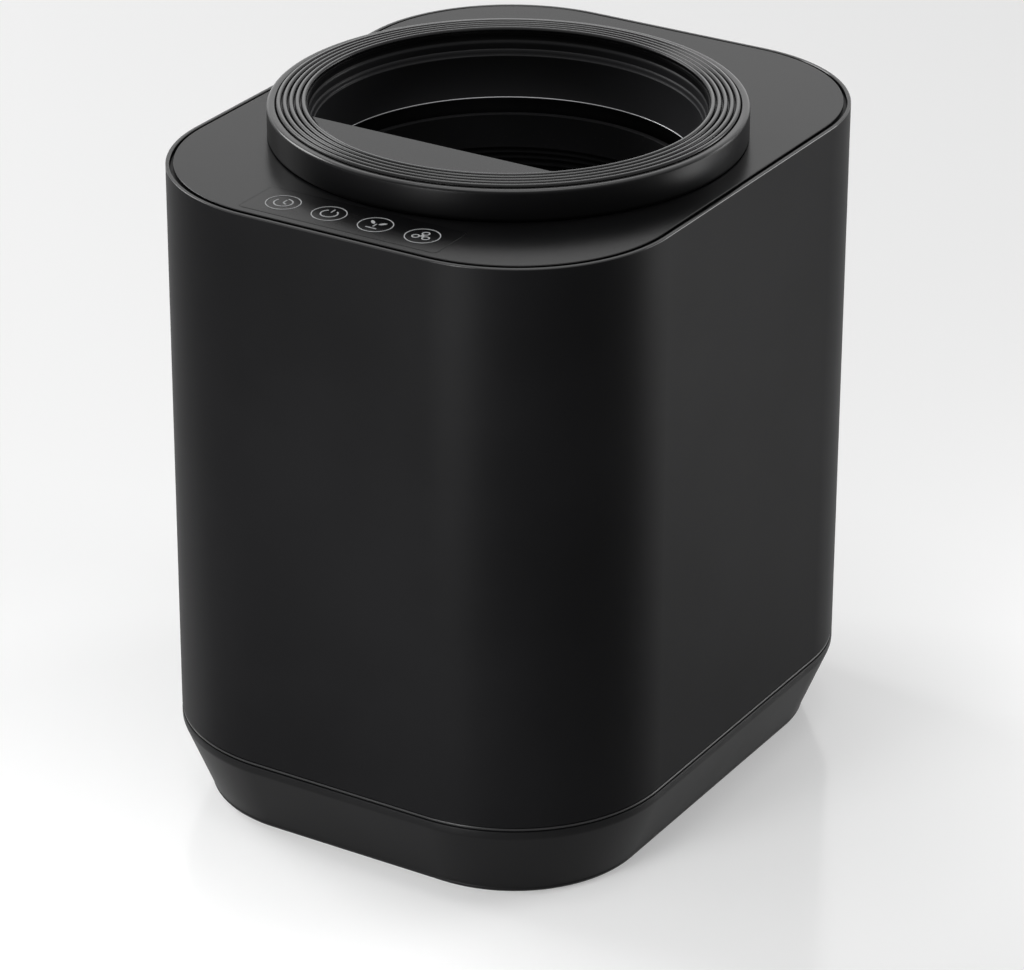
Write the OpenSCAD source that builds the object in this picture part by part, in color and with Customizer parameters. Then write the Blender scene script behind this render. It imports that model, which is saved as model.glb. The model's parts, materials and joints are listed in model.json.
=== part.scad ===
// Electric food waste composter: a rounded case on a tapered base, with a ribbed collar on its deck,
// a lift-out bucket with a stirrer, a geared motor drive below it, and a carbon filter drawer behind.
// Front is -Y, +X is to the right of someone facing the front, and the worktop is z = 0.

/* [Case] */
// Width of the case
case_w = 270; // [262:1:284]
// Depth of the case
case_d = 331; // [325:1:345]
// Radius of the case's upright corners
corner_r = 84; // [76:1:88]
// Height of the deck above the worktop
deck_z = 344.5; // [338:0.5:360]
// Wall of the outer shell
shell_t = 2; // [1.6:0.1:2.6]
// How far the shell's rim stands above the deck
rim_proud = 0.4; // [0:0.1:1]
// Dark gap between the shell's rim and the deck plate
rim_gap = 1.2; // [0.8:0.1:1.8]
// Thickness of the deck plate
deck_t = 3; // [2.6:0.1:3.6]

/* [Base] */
// Height of the base's top edge above the worktop
base_z = 45; // [42:0.5:50]
// Height of the upright band at the top of the base
base_band = 4; // [3:0.5:6]
// How far the base draws in from the case to its foot
base_draw = 16; // [12:0.5:20]
// Wall of the base
base_t = 3; // [2.8:0.1:3.6]
// Height of the trim band between the base and the shell, with its two dark lines
trim_h = 2.6; // [2.2:0.1:3.2]
// Height that the rubber feet stand below the base
foot_h = 2; // [1.5:0.1:3]
// Radius of a rubber foot
foot_r = 11; // [9:0.5:13]

/* [Collar] */
// Distance of the collar's centre from the middle of the case, along Y
collar_y = -5.4; // [-8:0.1:-4]
// Outer radius of the collar
collar_r = 119.5; // [118.5:0.1:121]
// Height of the collar above the deck
collar_h = 16.5; // [15:0.5:19]
// Radius of the edge of the collar's mouth
mouth_r = 99.5; // [99:0.1:100.5]
// Radius of the smooth throat under the mouth
throat_r = 96.5; // [96:0.1:97]
// How far the throat reaches below the deck
throat_drop = 19.8; // [16:0.2:21]
// Wall of the throat
throat_t = 2.2; // [1.8:0.1:2.4]
// Number of ribs on the ribbed seal
rib_n = 5; // [4:1:6]
// Pitch of the ribs on the ribbed seal
rib_pitch = 3.1; // [2.4:0.1:3.2]
// Distance of the front ledge's straight edge from the collar's centre
ledge_edge = 70.6; // [66:0.2:80]
// Thickness of the front ledge
ledge_t = 3; // [2.4:0.1:4]

/* [Touch panel] */
// Width of the glossy touch panel
panel_w = 111; // [106:1:114]
// Depth of the glossy touch panel
panel_d = 29; // [27:0.5:30]
// Distance of the panel's front edge from the front of the case
panel_edge = 8; // [7:0.5:9]
// Place of the panel's middle along X
panel_x = -2.2; // [-4:0.1:4]
// Pitch of the touch symbols
icon_pitch = 26.2; // [24:0.1:27]
// Radius of the ring round a touch symbol
icon_r = 8.8; // [8:0.1:9.4]

/* [Bucket] */
// Outer radius of the bucket's wall under its rim
bucket_r = 95.1; // [94:0.1:95.4]
// Wall of the bucket
bucket_t = 1.5; // [1.2:0.1:2]
// How far the bucket's rim lies below the deck
bucket_drop = 27.5; // [26:0.5:32]
// How far the bucket's wall draws in from rim to floor
bucket_draw = 2.4; // [1:0.1:3]
// Half the distance between the middles of the handle's two eyes
handle_half = 87.6; // [86.5:0.1:88]
// How far the folded handle reaches forward of its pins
handle_reach = 74; // [66:1:76]
// Radius of the handle's rod
handle_r = 2.5; // [2:0.1:3]
// Length of a stirrer arm from the axis
arm_len = 87; // [80:0.5:88]
// Height of the upright paddles on the long arms
paddle_h = 48; // [30:1:52]

/* [Drive] */
// Module of the output gear and its pinion
slow_m = 1.5; // [1.4:0.1:1.6]
// Teeth of the output gear
slow_gear_n = 56; // [52:2:56]
// Teeth of the pinion that drives the output gear
slow_pinion_n = 14; // [14:1:16]
// Module of the motor pinion and its gear
fast_m = 1; // [0.9:0.1:1.1]
// Teeth of the gear that the motor pinion drives
fast_gear_n = 48; // [44:2:48]
// Teeth of the motor pinion
fast_pinion_n = 12; // [12:1:14]
// Radius of the output shaft and the stirrer shaft
shaft_r = 6; // [5:0.1:6.5]
// Length of the motor's can
motor_h = 50; // [44:1:54]
// Radius of the motor's can
motor_r = 24; // [20:1:25]

/* [Filter drawer] */
// Width of the drawer's front
drawer_w = 91.4; // [86:0.2:94]
// Height of the drawer's front
drawer_h = 137.4; // [126:0.2:140]
// Height of the drawer's bottom edge above the worktop
drawer_z = 114.3; // [110:0.1:118]
// Depth of the drawer behind its front
drawer_len = 47; // [42:1:48]
// Number of outlet slots in the drawer's front
slot_n = 9; // [7:1:10]

/* [Hidden] */
$fn = 96;

// Named clearances
run_gap = 0.05; // between a shaft and its bore
move_gap = 0.3; // between a moving piece and its seat
slip_gap = 0.2; // between fixed pieces that slip together

// Case and base
cx = case_w / 2 - corner_r;
cy = case_d / 2 - corner_r;
shell_z = base_z + trim_h;
shell_top = deck_z + rim_proud;
back_in = case_d / 2 - shell_t;
deck_under = deck_z - deck_t;
frame_h = 8;
frame_w = 9;
frame_z = deck_under - frame_h;
post_r = 4;
post_in = (corner_r - shell_t - 14) * sqrt(0.5);
foot_in = (corner_r - base_draw - foot_r - 10) * sqrt(0.5);
foot_sink = 1.2;
floor_t = 2.5;
floor_z = foot_h + floor_t;
boss_in = 15;
boss_r = 6;
chassis_z = base_z + 5;
chassis_t = 2;
chassis_top = chassis_z + chassis_t;

// Collar
seat_z = deck_z + move_gap;
collar_top = deck_z + collar_h;
rib_r = rib_pitch / 2 - 0.25;
rib_r0 = mouth_r + rib_r + 0.25;
seal_r = mouth_r + rib_n * rib_pitch + 0.3;
seal_t = 2;
throat_z = deck_z - throat_drop;
step_z = [0.6, 5.7, 10.1, 12.4];
step_r = [for (i = [0 : 3]) mouth_r - 0.3 - (mouth_r - throat_r - 0.3) * i / 3];
ledge_r = step_r[0] - slip_gap;
deck_hole_r = throat_r + throat_t + 5.3;

// Heating chamber and bucket
liner_r = throat_r + throat_t + 1.3;
liner_t = 1.2;
gearbox_h = 28;
lid_t = 2.5;
gearbox_top = chassis_top + gearbox_h + lid_t;
liner_z = gearbox_top + motor_h + 13;
liner_floor = 1.5;
flange_r = liner_r + liner_t + 11.3;
heater_t = 2;
heater_h = 34;
heater_lift = 4.5;
jacket_t = 8;
jacket_h = 72;
jacket_lift = 41;
jacket_r = liner_r + liner_t + jacket_t;
bucket_z = liner_z + liner_floor + move_gap;
bucket_floor = 2.5;
bucket_top = deck_z - bucket_drop;
rim_r = 1.5;
rim_out = bucket_r + rim_r + 0.8;
mark_z = [18, 21, 24, 27.5, 32];
pivot_z = bucket_top - 6;
pin_r = 2.2;
eye_r = 5;
eye_t = 4;
ear_x = handle_half + eye_t / 2 + 0.6;
handle_arc = (handle_half * handle_half + handle_reach * handle_reach) / (2 * handle_reach);
handle_mid = handle_arc - handle_reach;
bush_r = 9;
boss_top = bucket_z + bucket_floor + 10;
bucket_boss_r = bush_r + 4;
flange_t = 1.2;
seal_h = 2.4;
hub_z = bucket_z + bucket_floor + 1;
hub_r = bucket_boss_r + 7;
hub_top = boss_top + seal_h + 14;
spindle_top = hub_top + 46;
arm_z = hub_z + 0.4;
arm_w = 14;
arm_t = 4;
arm_tilt = 28;
paddle_t = 5;
paddle_w = 10;
top_arm_w = 12;
top_arm_len = arm_len - 26;
bucket_slope = bucket_draw / (bucket_top - bucket_z - 8);
pan_top = bucket_z + bucket_floor + 6;
bar_r = 4;
bar_in = 50;
bar_z = arm_z + paddle_h + 12;
bar_seat = bucket_r - bucket_t - bucket_slope * (bucket_top - bar_z + bar_r);
bar_out = sqrt(bar_seat * bar_seat - bar_r * bar_r) - slip_gap;

// Drive under the chamber
coupling_r = 15;
dog_w = 6;
dog_h = 8.6;
coupling_h = 12.4;
coupling_top = bucket_z - flange_t - 0.2;
coupling_z = coupling_top - coupling_h;
dog_disc_h = 12;
dog_disc_top = coupling_z - 0.6;
slow_centre = slow_m * (slow_gear_n + slow_pinion_n) / 2;
fast_centre = fast_m * (fast_gear_n + fast_pinion_n) / 2;
idler_y = collar_y + slow_centre;
motor_y = idler_y + fast_centre;
slow_z = chassis_top + 5;
slow_t = 10;
fast_z = slow_z + slow_t + 2;
fast_t = 6;
tooth_share = 0.93;
axle_r = 4;
motor_shaft_r = 2.5;
bearing_r = shaft_r + 5;

// Filter drawer and blower at the back
panel_face = case_d / 2 - 0.1;
panel_t = 3.6;
panel_back = panel_face - panel_t;
box_w = drawer_w - 7.2;
box_z = drawer_z + 4.1;
box_h = drawer_h - 8.2;
box_t = 1.8;
duct_t = 2;
housing_w = box_w + 0.8 + 2 * duct_t;
housing_z = box_z - 0.4 - duct_t;
housing_h = box_h + 0.8 + 2 * duct_t;
housing_front = panel_back - drawer_len - 2.4 - duct_t;
bezel_t = 5;
blower_r = 34;
blower_t = 28;
blower_wall = 2;
blower_back = back_in - 17;
blower_front = blower_back - blower_t;
blower_z = housing_z + housing_h + blower_r + 4;
inlet_r = 15.5;
rotor_r = 29;

// Power inlet and its lead
inlet_z = base_z + 35;
inlet_w = 29.6;
inlet_h = 23.6;
lead_r = 3;
lead_bend = 5;

// Power board
board_w = 50;
board_d = 90;
board_x = case_w / 2 - shell_t - 9 - board_w / 2;
board_z = chassis_top + 6;

// A point on a circle of the radius r
function polar(r, a) = r * [cos(a), sin(a)];

// Points of an arc round c, from the angle a to the angle b
function arc(c, r, a, b, n = 5) = [for (i = [0 : n]) c + polar(r, a + (b - a) * i / n)];

// Involute function in degrees
function inv(a) = tan(a) * 180 / PI - a;

// Half the angle that a tooth of a gear takes up at the radius r
function tooth_half(n, m, r) =
    90 / n * tooth_share + inv(20) - inv(acos(min(1, m * n / 2 * cos(20) / r)));

// Outline of one tooth as pairs of radius and angle
function tooth(n, m) =
    let (rp = m * n / 2, root = rp - 1.25 * m, low = max(root, rp * cos(20)), tip = rp + m)
    concat([[root, -tooth_half(n, m, low)]],
           [for (i = [0 : 3]) let (r = low + (tip - low) * i / 3) [r, -tooth_half(n, m, r)]],
           [for (i = [3 : -1 : 0]) let (r = low + (tip - low) * i / 3) [r, tooth_half(n, m, r)]],
           [[root, tooth_half(n, m, low)]]);

// Outline of a spur gear with n teeth of module m, one of them at the angle a
function gear_points(n, m, a) =
    [for (k = [0 : n - 1]) for (t = tooth(n, m)) polar(t[0], a + k * 360 / n + t[1])];

module ring(r_out, r_in, h, z) {
    translate([0, 0, z])
        difference() {
            cylinder(h = h, r = r_out);
            translate([0, 0, -1])
                cylinder(h = h + 2, r = r_in);
        }
}

module slab(x0, x1, y0, y1, z0, z1) {
    translate([x0, y0, z0])
        cube([x1 - x0, y1 - y0, z1 - z0]);
}

// The case's outline, moved inwards by inset
module case_outline(inset) {
    square([case_w - 2 * inset, case_d - 2 * corner_r], center = true);
    square([case_w - 2 * corner_r, case_d - 2 * inset], center = true);
    for (x = [-cx, cx], y = [-cy, cy])
        translate([x, y])
            circle(corner_r - inset);
}

// Carries a 2-D profile round the case; its x = 0 lies on the outline and negative x points inwards
module round_case() {
    for (q = [0 : 3]) {
        sx = q == 0 || q == 3 ? 1 : -1;
        sy = q < 2 ? 1 : -1;
        translate([sx * cx, sy * cy, 0])
            rotate([0, 0, 90 * q])
                rotate_extrude(angle = 90)
                    translate([corner_r, 0])
                        children();
    }
    for (a = [0, 180]) {
        rotate([0, 0, a])
            translate([case_w / 2, cy, 0])
                rotate([90, 0, 0])
                    linear_extrude(2 * cy)
                        children();
        rotate([0, 0, a + 90])
            translate([case_d / 2, cx, 0])
                rotate([90, 0, 0])
                    linear_extrude(2 * cx)
                        children();
    }
}

// A round-cornered rectangle of width w and height h
module card(w, h, r) {
    square([w - 2 * r, h], center = true);
    square([w, h - 2 * r], center = true);
    for (x = [-1, 1], y = [-1, 1])
        translate([x * (w / 2 - r), y * (h / 2 - r)])
            circle(r);
}

// Carries a 2-D outline in X and Z along Y, from y0 to y1
module along_y(y0, y1) {
    translate([0, y1, 0])
        rotate([90, 0, 0])
            linear_extrude(y1 - y0)
                children();
}

// Puts a copy in each of the case's four corners, in from the corner's centre by d along X and Y
module in_corners(d) {
    for (x = [-1, 1], y = [-1, 1])
        translate([x * (cx + d), y * (cy + d), 0])
            children();
}

// Moves its children to the collar's axis
module on_axis() {
    translate([0, collar_y, 0])
        children();
}

module outer_shell() color("#1d1e20") {
    difference() {
        round_case()
            polygon(concat(
                [[0, shell_z], [0, shell_top - 0.8]],
                arc([-0.8, shell_top - 0.8], 0.8, 0, 90),
                [[-shell_t + 0.3, shell_top], [-shell_t, shell_top - 0.3], [-shell_t, shell_z]]));
        along_y(back_in - 1, case_d / 2 + 1)
            translate([0, drawer_z + drawer_h / 2])
                card(drawer_w + 2 * move_gap, drawer_h + 2 * move_gap, 4);
        along_y(back_in - 1, case_d / 2 + 1)
            translate([0, inlet_z])
                card(inlet_w + 2 * slip_gap, inlet_h + 2 * slip_gap, 3);
    }
}

module deck_plate() color("#2e2f31") {
    edge = shell_t + rim_gap;
    difference() {
        union() {
            round_case()
                polygon(concat(
                    [[-edge, deck_under]],
                    arc([-edge - 0.8, deck_z - 0.8], 0.8, 0, 90),
                    [[-edge - 8, deck_z], [-edge - 8, deck_under]]));
            translate([0, 0, deck_under])
                linear_extrude(deck_t)
                    case_outline(edge + 7.9);
        }
        on_axis()
            translate([0, 0, deck_under - 1])
                cylinder(h = deck_t + 2, r = deck_hole_r);
        translate([panel_x, panel_edge + panel_d / 2 - case_d / 2, deck_z - 0.5])
            linear_extrude(1)
                card(panel_w + 2 * slip_gap, panel_d + 2 * slip_gap, 2.2);
        at_deck_screws()
            translate([0, 0, deck_under - 1])
                cylinder(h = 2.8, r = 1.55);
        at_liner_screws()
            translate([0, 0, deck_under - 1])
                cylinder(h = 2.8, r = 1.55);
    }
}

module deck_frame() color("#37383a") {
    gap = shell_t + slip_gap;
    difference() {
        union() {
            round_case()
                polygon([[-gap, frame_z], [-gap, deck_under], [-gap - frame_w, deck_under],
                         [-gap - frame_w, frame_z + 4], [-gap - 3, frame_z + 4], [-gap - 3, frame_z]]);
            in_corners(post_in)
                translate([0, 0, frame_z])
                    cylinder(h = frame_h, r = 2 * post_r);
        }
        at_deck_screws()
            translate([0, 0, frame_z - 1])
                cylinder(h = frame_h + 2, r = 1.6);
    }
}

module at_deck_screws() {
    for (x = [-1, 1], y = [-36, 36])
        translate([x * (case_w / 2 - shell_t - slip_gap - 6), y, 0])
            children();
}

module deck_screws() color("#b9bcc0") {
    at_deck_screws()
        translate([0, 0, frame_z + 4]) {
            translate([0, 0, -2.4])
                cylinder(h = 2.4, r = 2.7);
            cylinder(h = frame_h - 4 + 1.6, r = 1.5);
        }
}

module trim_ring() color("#111214") {
    line = 0.7;
    gap = shell_t + slip_gap;
    round_case()
        polygon([[-base_t, base_z], [-1.2, base_z], [-1.2, base_z + line], [-0.3, base_z + line],
                 [-0.3, shell_z - line], [-1.2, shell_z - line], [-1.2, shell_z], [-gap, shell_z],
                 [-gap, shell_z + 6], [-gap - 2.4, shell_z + 6], [-gap - 2.4, base_z]]);
}

module base_tray() color("#232427") {
    inner = base_draw + 4;
    difference() {
        union() {
            round_case()
                polygon(concat(
                    [[-0.4, base_z], [0, base_z - 0.4], [0, base_z - base_band]],
                    [[1.4 - base_draw, foot_h + 3]],
                    arc([-base_draw - 1.6, foot_h + 3.2], 3.2, -12, -78, 4),
                    [[-inner, foot_h], [-inner, floor_z], [-base_draw - 1.5, floor_z]],
                    [[-base_t, base_z - base_band], [-base_t, base_z]]));
            translate([0, 0, foot_h])
                linear_extrude(floor_t)
                    case_outline(inner - 0.1);
            in_corners(boss_in)
                translate([0, 0, floor_z - 0.1])
                    cylinder(h = chassis_z - floor_z + 0.1, r = boss_r);
        }
        in_corners(foot_in)
            translate([0, 0, foot_h - 1])
                cylinder(h = 1 + foot_sink, r = foot_r + slip_gap);
        in_corners(boss_in)
            translate([0, 0, chassis_z - 14])
                cylinder(h = 15, r = 2);
        for (i = [-3 : 3])
            translate([0, collar_y + i * 9, foot_h - 1])
                linear_extrude(floor_t + 2)
                    card(64, 4, 1.9);
    }
}

module rubber_feet() color("#0b0b0c") {
    in_corners(foot_in)
        rotate_extrude()
            polygon(concat([[0, 0]], arc([foot_r - 0.8, 0.8], 0.8, -90, 0, 4),
                           [[foot_r, foot_h + foot_sink], [0, foot_h + foot_sink]]));
}

module corner_posts() color("#9da0a4") {
    in_corners(post_in)
        translate([0, 0, chassis_top])
            cylinder(h = frame_z - chassis_top, r = post_r);
}

module chassis_plate() color("#a7aaae") {
    difference() {
        translate([0, 0, chassis_z])
            linear_extrude(chassis_t)
                case_outline(shell_t + slip_gap + 2.8);
        in_corners(boss_in)
            translate([0, 0, chassis_z - 1])
                cylinder(h = chassis_t + 2, r = 2.1);
        for (y = [-118, -108, -98])
            translate([0, y, chassis_z - 1])
                linear_extrude(chassis_t + 2)
                    card(70, 4, 1.9);
    }
}

module chassis_screws() color("#b9bcc0") {
    in_corners(boss_in) {
        translate([0, 0, chassis_top])
            cylinder(h = 2.4, r = 4);
        translate([0, 0, chassis_z - 12])
            cylinder(h = chassis_t + 12, r = 1.9);
    }
}

// The gearbox in plan, with its inner walls set out by the gears and grown by e
module gearbox_plan(e) {
    slow_space = slow_m * (slow_gear_n / 2 + 1) + 2;
    fast_space = fast_m * (fast_gear_n / 2 + 1) + 2;
    pinion_space = fast_m * (fast_pinion_n / 2 + 1) + 2;
    translate([0, collar_y])
        circle(slow_space + e);
    translate([0, idler_y])
        circle(fast_space + e);
    translate([0, motor_y])
        circle(pinion_space + e);
    translate([-fast_space - e, collar_y])
        square([2 * (fast_space + e), slow_centre]);
    translate([-pinion_space - e, idler_y])
        square([2 * (pinion_space + e), fast_centre]);
}

module gearbox_housing() color("#4a4d50") {
    difference() {
        translate([0, 0, chassis_top])
            linear_extrude(gearbox_h)
                gearbox_plan(2);
        translate([0, 0, chassis_top + 2])
            linear_extrude(gearbox_h)
                gearbox_plan(0);
    }
    on_axis()
        ring(shaft_r + 3, shaft_r + run_gap, 2.6, chassis_top + 2);
}

module gearbox_cover() color("#55585c") {
    difference() {
        translate([0, 0, chassis_top + gearbox_h])
            linear_extrude(lid_t)
                gearbox_plan(2);
        on_axis()
            translate([0, 0, chassis_top + gearbox_h - 1])
                cylinder(h = lid_t + 2, r = bearing_r + run_gap);
        translate([0, motor_y, chassis_top + gearbox_h - 1])
            cylinder(h = lid_t + 2, r = motor_shaft_r + 1.5);
    }
}

module output_bearing() color("#c79a4b") {
    on_axis()
        difference() {
            union() {
                translate([0, 0, gearbox_top - 5])
                    cylinder(h = 5, r = bearing_r);
                translate([0, 0, gearbox_top])
                    cylinder(h = 3, r = bearing_r + 3);
            }
            translate([0, 0, gearbox_top - 6])
                cylinder(h = 10, r = shaft_r + run_gap);
        }
}

module idler_axle() color("#b9bcc0") {
    translate([0, idler_y, chassis_top + 2])
        cylinder(h = gearbox_h - 2, r = axle_r);
}

module drive_motor() color("#7c7f83") {
    translate([0, motor_y, gearbox_top])
        difference() {
            union() {
                cylinder(h = motor_h - 3, r = motor_r);
                cylinder(h = motor_h, r = motor_r - 3);
                for (x = [-1, 1])
                    translate([x * (motor_r - 6) - 3, -2, motor_h - 1])
                        cube([6, 4, 6]);
            }
            translate([0, 0, -1])
                cylinder(h = 14, r = motor_shaft_r + run_gap);
        }
}

module chamber_liner() color("#c3c6ca") {
    on_axis()
        difference() {
            union() {
                translate([0, 0, liner_z])
                    cylinder(h = deck_under - liner_z, r = liner_r + liner_t);
                translate([0, 0, deck_under - liner_t])
                    cylinder(h = liner_t, r = flange_r);
            }
            translate([0, 0, liner_z + liner_floor])
                cylinder(h = deck_under - liner_z, r = liner_r);
            translate([0, 0, liner_z - 1])
                cylinder(h = liner_floor + 2, r = coupling_r + 4);
            translate([0, 0, blower_z])
                rotate([-90, 0, 0])
                    cylinder(h = liner_r + 20, r = inlet_r);
            for (a = [30 : 60 : 330])
                rotate([0, 0, a])
                    translate([flange_r - 4.5, 0, deck_under - 5])
                        cylinder(h = 6, r = 1.6);
        }
}

module at_liner_screws() {
    on_axis()
        for (a = [30 : 60 : 330])
            rotate([0, 0, a])
                translate([flange_r - 4.5, 0, 0])
                    children();
}

module liner_screws() color("#b9bcc0") {
    at_liner_screws()
        translate([0, 0, deck_under - liner_t]) {
            translate([0, 0, -2.2])
                cylinder(h = 2.2, r = 2.8);
            cylinder(h = liner_t + 1.6, r = 1.5);
        }
}

module chamber_legs() color("#9da0a4") {
    on_axis()
        for (a = [45 : 90 : 315])
            rotate([0, 0, a])
                translate([liner_r - 12, 0, chassis_top])
                    cylinder(h = liner_z - chassis_top, r = 5);
}

module heater_band() color("#b4693a") {
    on_axis()
        ring(liner_r + liner_t + slip_gap + heater_t, liner_r + liner_t + slip_gap, heater_h,
             liner_z + heater_lift);
}

module insulation_jacket() color("#d8d2c2") {
    difference() {
        on_axis()
            ring(jacket_r, liner_r + liner_t + slip_gap, jacket_h, liner_z + jacket_lift);
        along_y(blower_front - slip_gap, blower_back)
            translate([0, blower_z])
                circle(blower_r + slip_gap);
    }
}

// The room that the chamber's jacket takes up behind it, grown by e
module jacket_room(e) {
    on_axis()
        cylinder_between(jacket_r + slip_gap + e, housing_z - 1, housing_z + housing_h + 1);
}

module thermal_cutout() color("#e4e0d4") {
    on_axis()
        translate([45, 0, liner_z - 8]) {
            translate([0, 0, 3])
                cylinder(h = 5, r = 7);
            for (x = [-4, 4])
                translate([x - 1.5, -0.4, -3])
                    cube([3, 0.8, 7]);
        }
}

module temperature_sensor() color("#c8cacd") {
    on_axis()
        translate([-45, 0, liner_z - 6]) {
            cylinder(h = 6, r = 3.5);
            translate([-7, -3, 4.5])
                cube([14, 6, 1.5]);
        }
}

module on_panel() {
    translate([panel_x, panel_edge + panel_d / 2 - case_d / 2, 0])
        children();
}

module touch_panel() color("#0c0d0f") {
    on_panel()
        translate([0, 0, deck_z - 0.5])
            linear_extrude(0.6)
                card(panel_w, panel_d, 2);
}

module at_icons() {
    for (i = [0 : 3])
        on_panel()
            translate([(i - 1.5) * icon_pitch, 0, 0])
                children();
}

// A flat line of width w from the point a to the point b
module stroke(a, b, w) {
    d = b - a;
    translate(a)
        rotate([0, 0, atan2(d[1], d[0])])
            translate([0, -w / 2])
                square([norm(d), w]);
}

// An open circular line of width w, from the angle a to the angle b
module bow(r, w, a, b) {
    difference() {
        circle(r + w / 2);
        circle(r - w / 2);
        polygon(concat([[0, 0]], [for (i = [0 : 6]) polar(2 * r, b + (a + 360 - b) * i / 6)]));
    }
}

// Timer: an open ring with a hand
module icon_timer() {
    bow(4.6, 0.7, -210, 90);
    stroke([0, 0], [0, 3.4], 0.7);
    stroke([0, 0], [2.2, -1.4], 0.7);
}

// Start: a ring with a gap at the top and a short upright
module icon_start() {
    bow(4.2, 0.7, 125, 415);
    stroke([0, 1.6], [0, 5.4], 0.7);
}

// Compost: two leaves on a stem over a bar
module icon_leaf() {
    for (s = [-1, 1])
        intersection() {
            translate([s * 1.2, 3.8])
                circle(3.2);
            translate([s * 4.4, 0.6])
                circle(3.2);
        }
    stroke([0, -2.4], [0, 1], 0.7);
    stroke([-3, -4.2], [3, -4.2], 0.8);
}

// Fan: three round blades and a hub
module icon_fan() {
    circle(1);
    for (a = [90, 210, 330])
        translate(polar(3.2, a))
            difference() {
                circle(2.1);
                circle(1.4);
            }
}

module touch_icons() color("#d9dcdf") {
    on_panel()
        translate([0, 0, deck_z + 0.1])
            linear_extrude(0.15)
                for (i = [0 : 3])
                    translate([(i - 1.5) * icon_pitch, 0]) {
                        difference() {
                            circle(icon_r);
                            circle(icon_r - 0.5);
                        }
                        if (i == 0)
                            icon_timer();
                        if (i == 1)
                            icon_start();
                        if (i == 2)
                            icon_leaf();
                        if (i == 3)
                            icon_fan();
                    }
}

module control_board() color("#1f5a3a") {
    on_panel()
        translate([0, 3, 0]) {
            translate([0, 0, deck_under - 5.6])
                linear_extrude(1.6)
                    card(panel_w - 3, panel_d - 8, 2);
            for (x = [-1, 1], y = [-1, 1])
                translate([x * (panel_w / 2 - 5), y * (panel_d / 2 - 7.5), deck_under - 4])
                    cylinder(h = 4, r = 2.2);
            translate([-12, -4, deck_under - 8])
                cube([10, 10, 2.4]);
            translate([14, -4, deck_under - 10])
                cube([14, 8, 4.4]);
        }
}

module touch_pads() color("#c9a14e") {
    at_icons()
        translate([0, 1, deck_under - 4])
            ring(6, 4.5, 4, 0);
}

module lid_sensor() color("#17181a") {
    on_axis()
        rotate([0, 0, -35])
            translate([-8, collar_r + 1, deck_under - 6])
                cube([16, 7, 6]);
}

module power_board() color("#1f5a3a") {
    translate([board_x, collar_y, 0]) {
        translate([-board_w / 2, -board_d / 2, board_z])
            cube([board_w, board_d, 1.6]);
        for (x = [-1, 1], y = [-1, 1])
            translate([x * (board_w / 2 - 4), y * (board_d / 2 - 4), chassis_top])
                cylinder(h = board_z - chassis_top, r = 2.5);
    }
}

module power_components() color("#d1b23a") {
    translate([board_x, collar_y, board_z + 1.6]) {
        translate([-20, -38, 0])
            cube([34, 28, 24]);
        translate([-10, 6, 0])
            cylinder(h = 26, r = 9);
        translate([12, 6, 0])
            cylinder(h = 20, r = 6);
        translate([-20, 22, 0])
            cube([18, 16, 15]);
        translate([4, 26, 0])
            cube([16, 12, 10]);
    }
}

module power_inlet() color("#141517") {
    face = case_d / 2 - 0.2;
    difference() {
        union() {
            along_y(back_in - 0.1, face)
                translate([0, inlet_z])
                    card(inlet_w, inlet_h, 2.8);
            along_y(back_in - 3, back_in)
                translate([0, inlet_z])
                    card(inlet_w + 6, inlet_h + 6, 3);
            along_y(back_in - 24, back_in - 2.9)
                translate([0, inlet_z])
                    card(27, 20.6, 2);
        }
        along_y(face - 16, face + 1)
            translate([0, inlet_z])
                polygon([[-12, -8], [12, -8], [12, 4], [8, 8], [-8, 8], [-12, 4]]);
    }
}

module inlet_pins() color("#c8cacd") {
    root = case_d / 2 - 0.2 - 16;
    for (x = [-7, 0, 7])
        slab(x - 1, x + 1, root, root + 12, inlet_z - (x == 0 ? 1 : 5), inlet_z + (x == 0 ? 3 : -1));
}

// A quarter turn of the lead round the point c; turn sets its plane and where it starts
module elbow(c, turn) {
    translate(c)
        rotate(turn)
            rotate_extrude(angle = 90)
                translate([lead_bend, 0])
                    circle(lead_r);
}

// The lead runs back from the inlet, down, across behind the chamber and forward to the power board
module inlet_lead() color("#1a1b1d") {
    back_y = back_in - 24.1;
    mid_y = back_in - 36.5;
    end_x = board_x - board_w / 2 + 14;
    end_z = board_z + 8.6;
    end_y = collar_y + 38.2;
    along_y(mid_y + lead_bend, back_y)
        translate([0, inlet_z])
            circle(lead_r);
    elbow([0, mid_y + lead_bend, inlet_z - lead_bend], [90, 0, -90]);
    translate([0, mid_y, end_z + lead_bend])
        cylinder(h = inlet_z - end_z - 2 * lead_bend, r = lead_r);
    elbow([lead_bend, mid_y, end_z + lead_bend], [90, 180, 0]);
    translate([lead_bend, mid_y, end_z])
        rotate([0, 90, 0])
            cylinder(h = end_x - 2 * lead_bend, r = lead_r);
    elbow([end_x - lead_bend, mid_y - lead_bend, end_z], [0, 0, 0]);
    along_y(end_y, mid_y - lead_bend)
        translate([end_x, end_z])
            circle(lead_r);
}

module blower_housing() color("#2a2b2e") {
    difference() {
        union() {
            along_y(blower_front + blower_wall, blower_back)
                translate([0, blower_z])
                    circle(blower_r);
            slab(-15, 15, blower_front + 4, blower_back - 4, housing_z + housing_h, blower_z - 20);
        }
        along_y(blower_front - 1, blower_back - blower_wall)
            translate([0, blower_z])
                circle(blower_r - blower_wall);
        slab(-13.4, 13.4, blower_front + 5.6, blower_back - 5.6, housing_z + housing_h - 1,
             blower_z - 19);
        along_y(blower_back - 5, blower_back + 1)
            translate([0, blower_z])
                circle(2.5);
    }
}

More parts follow.
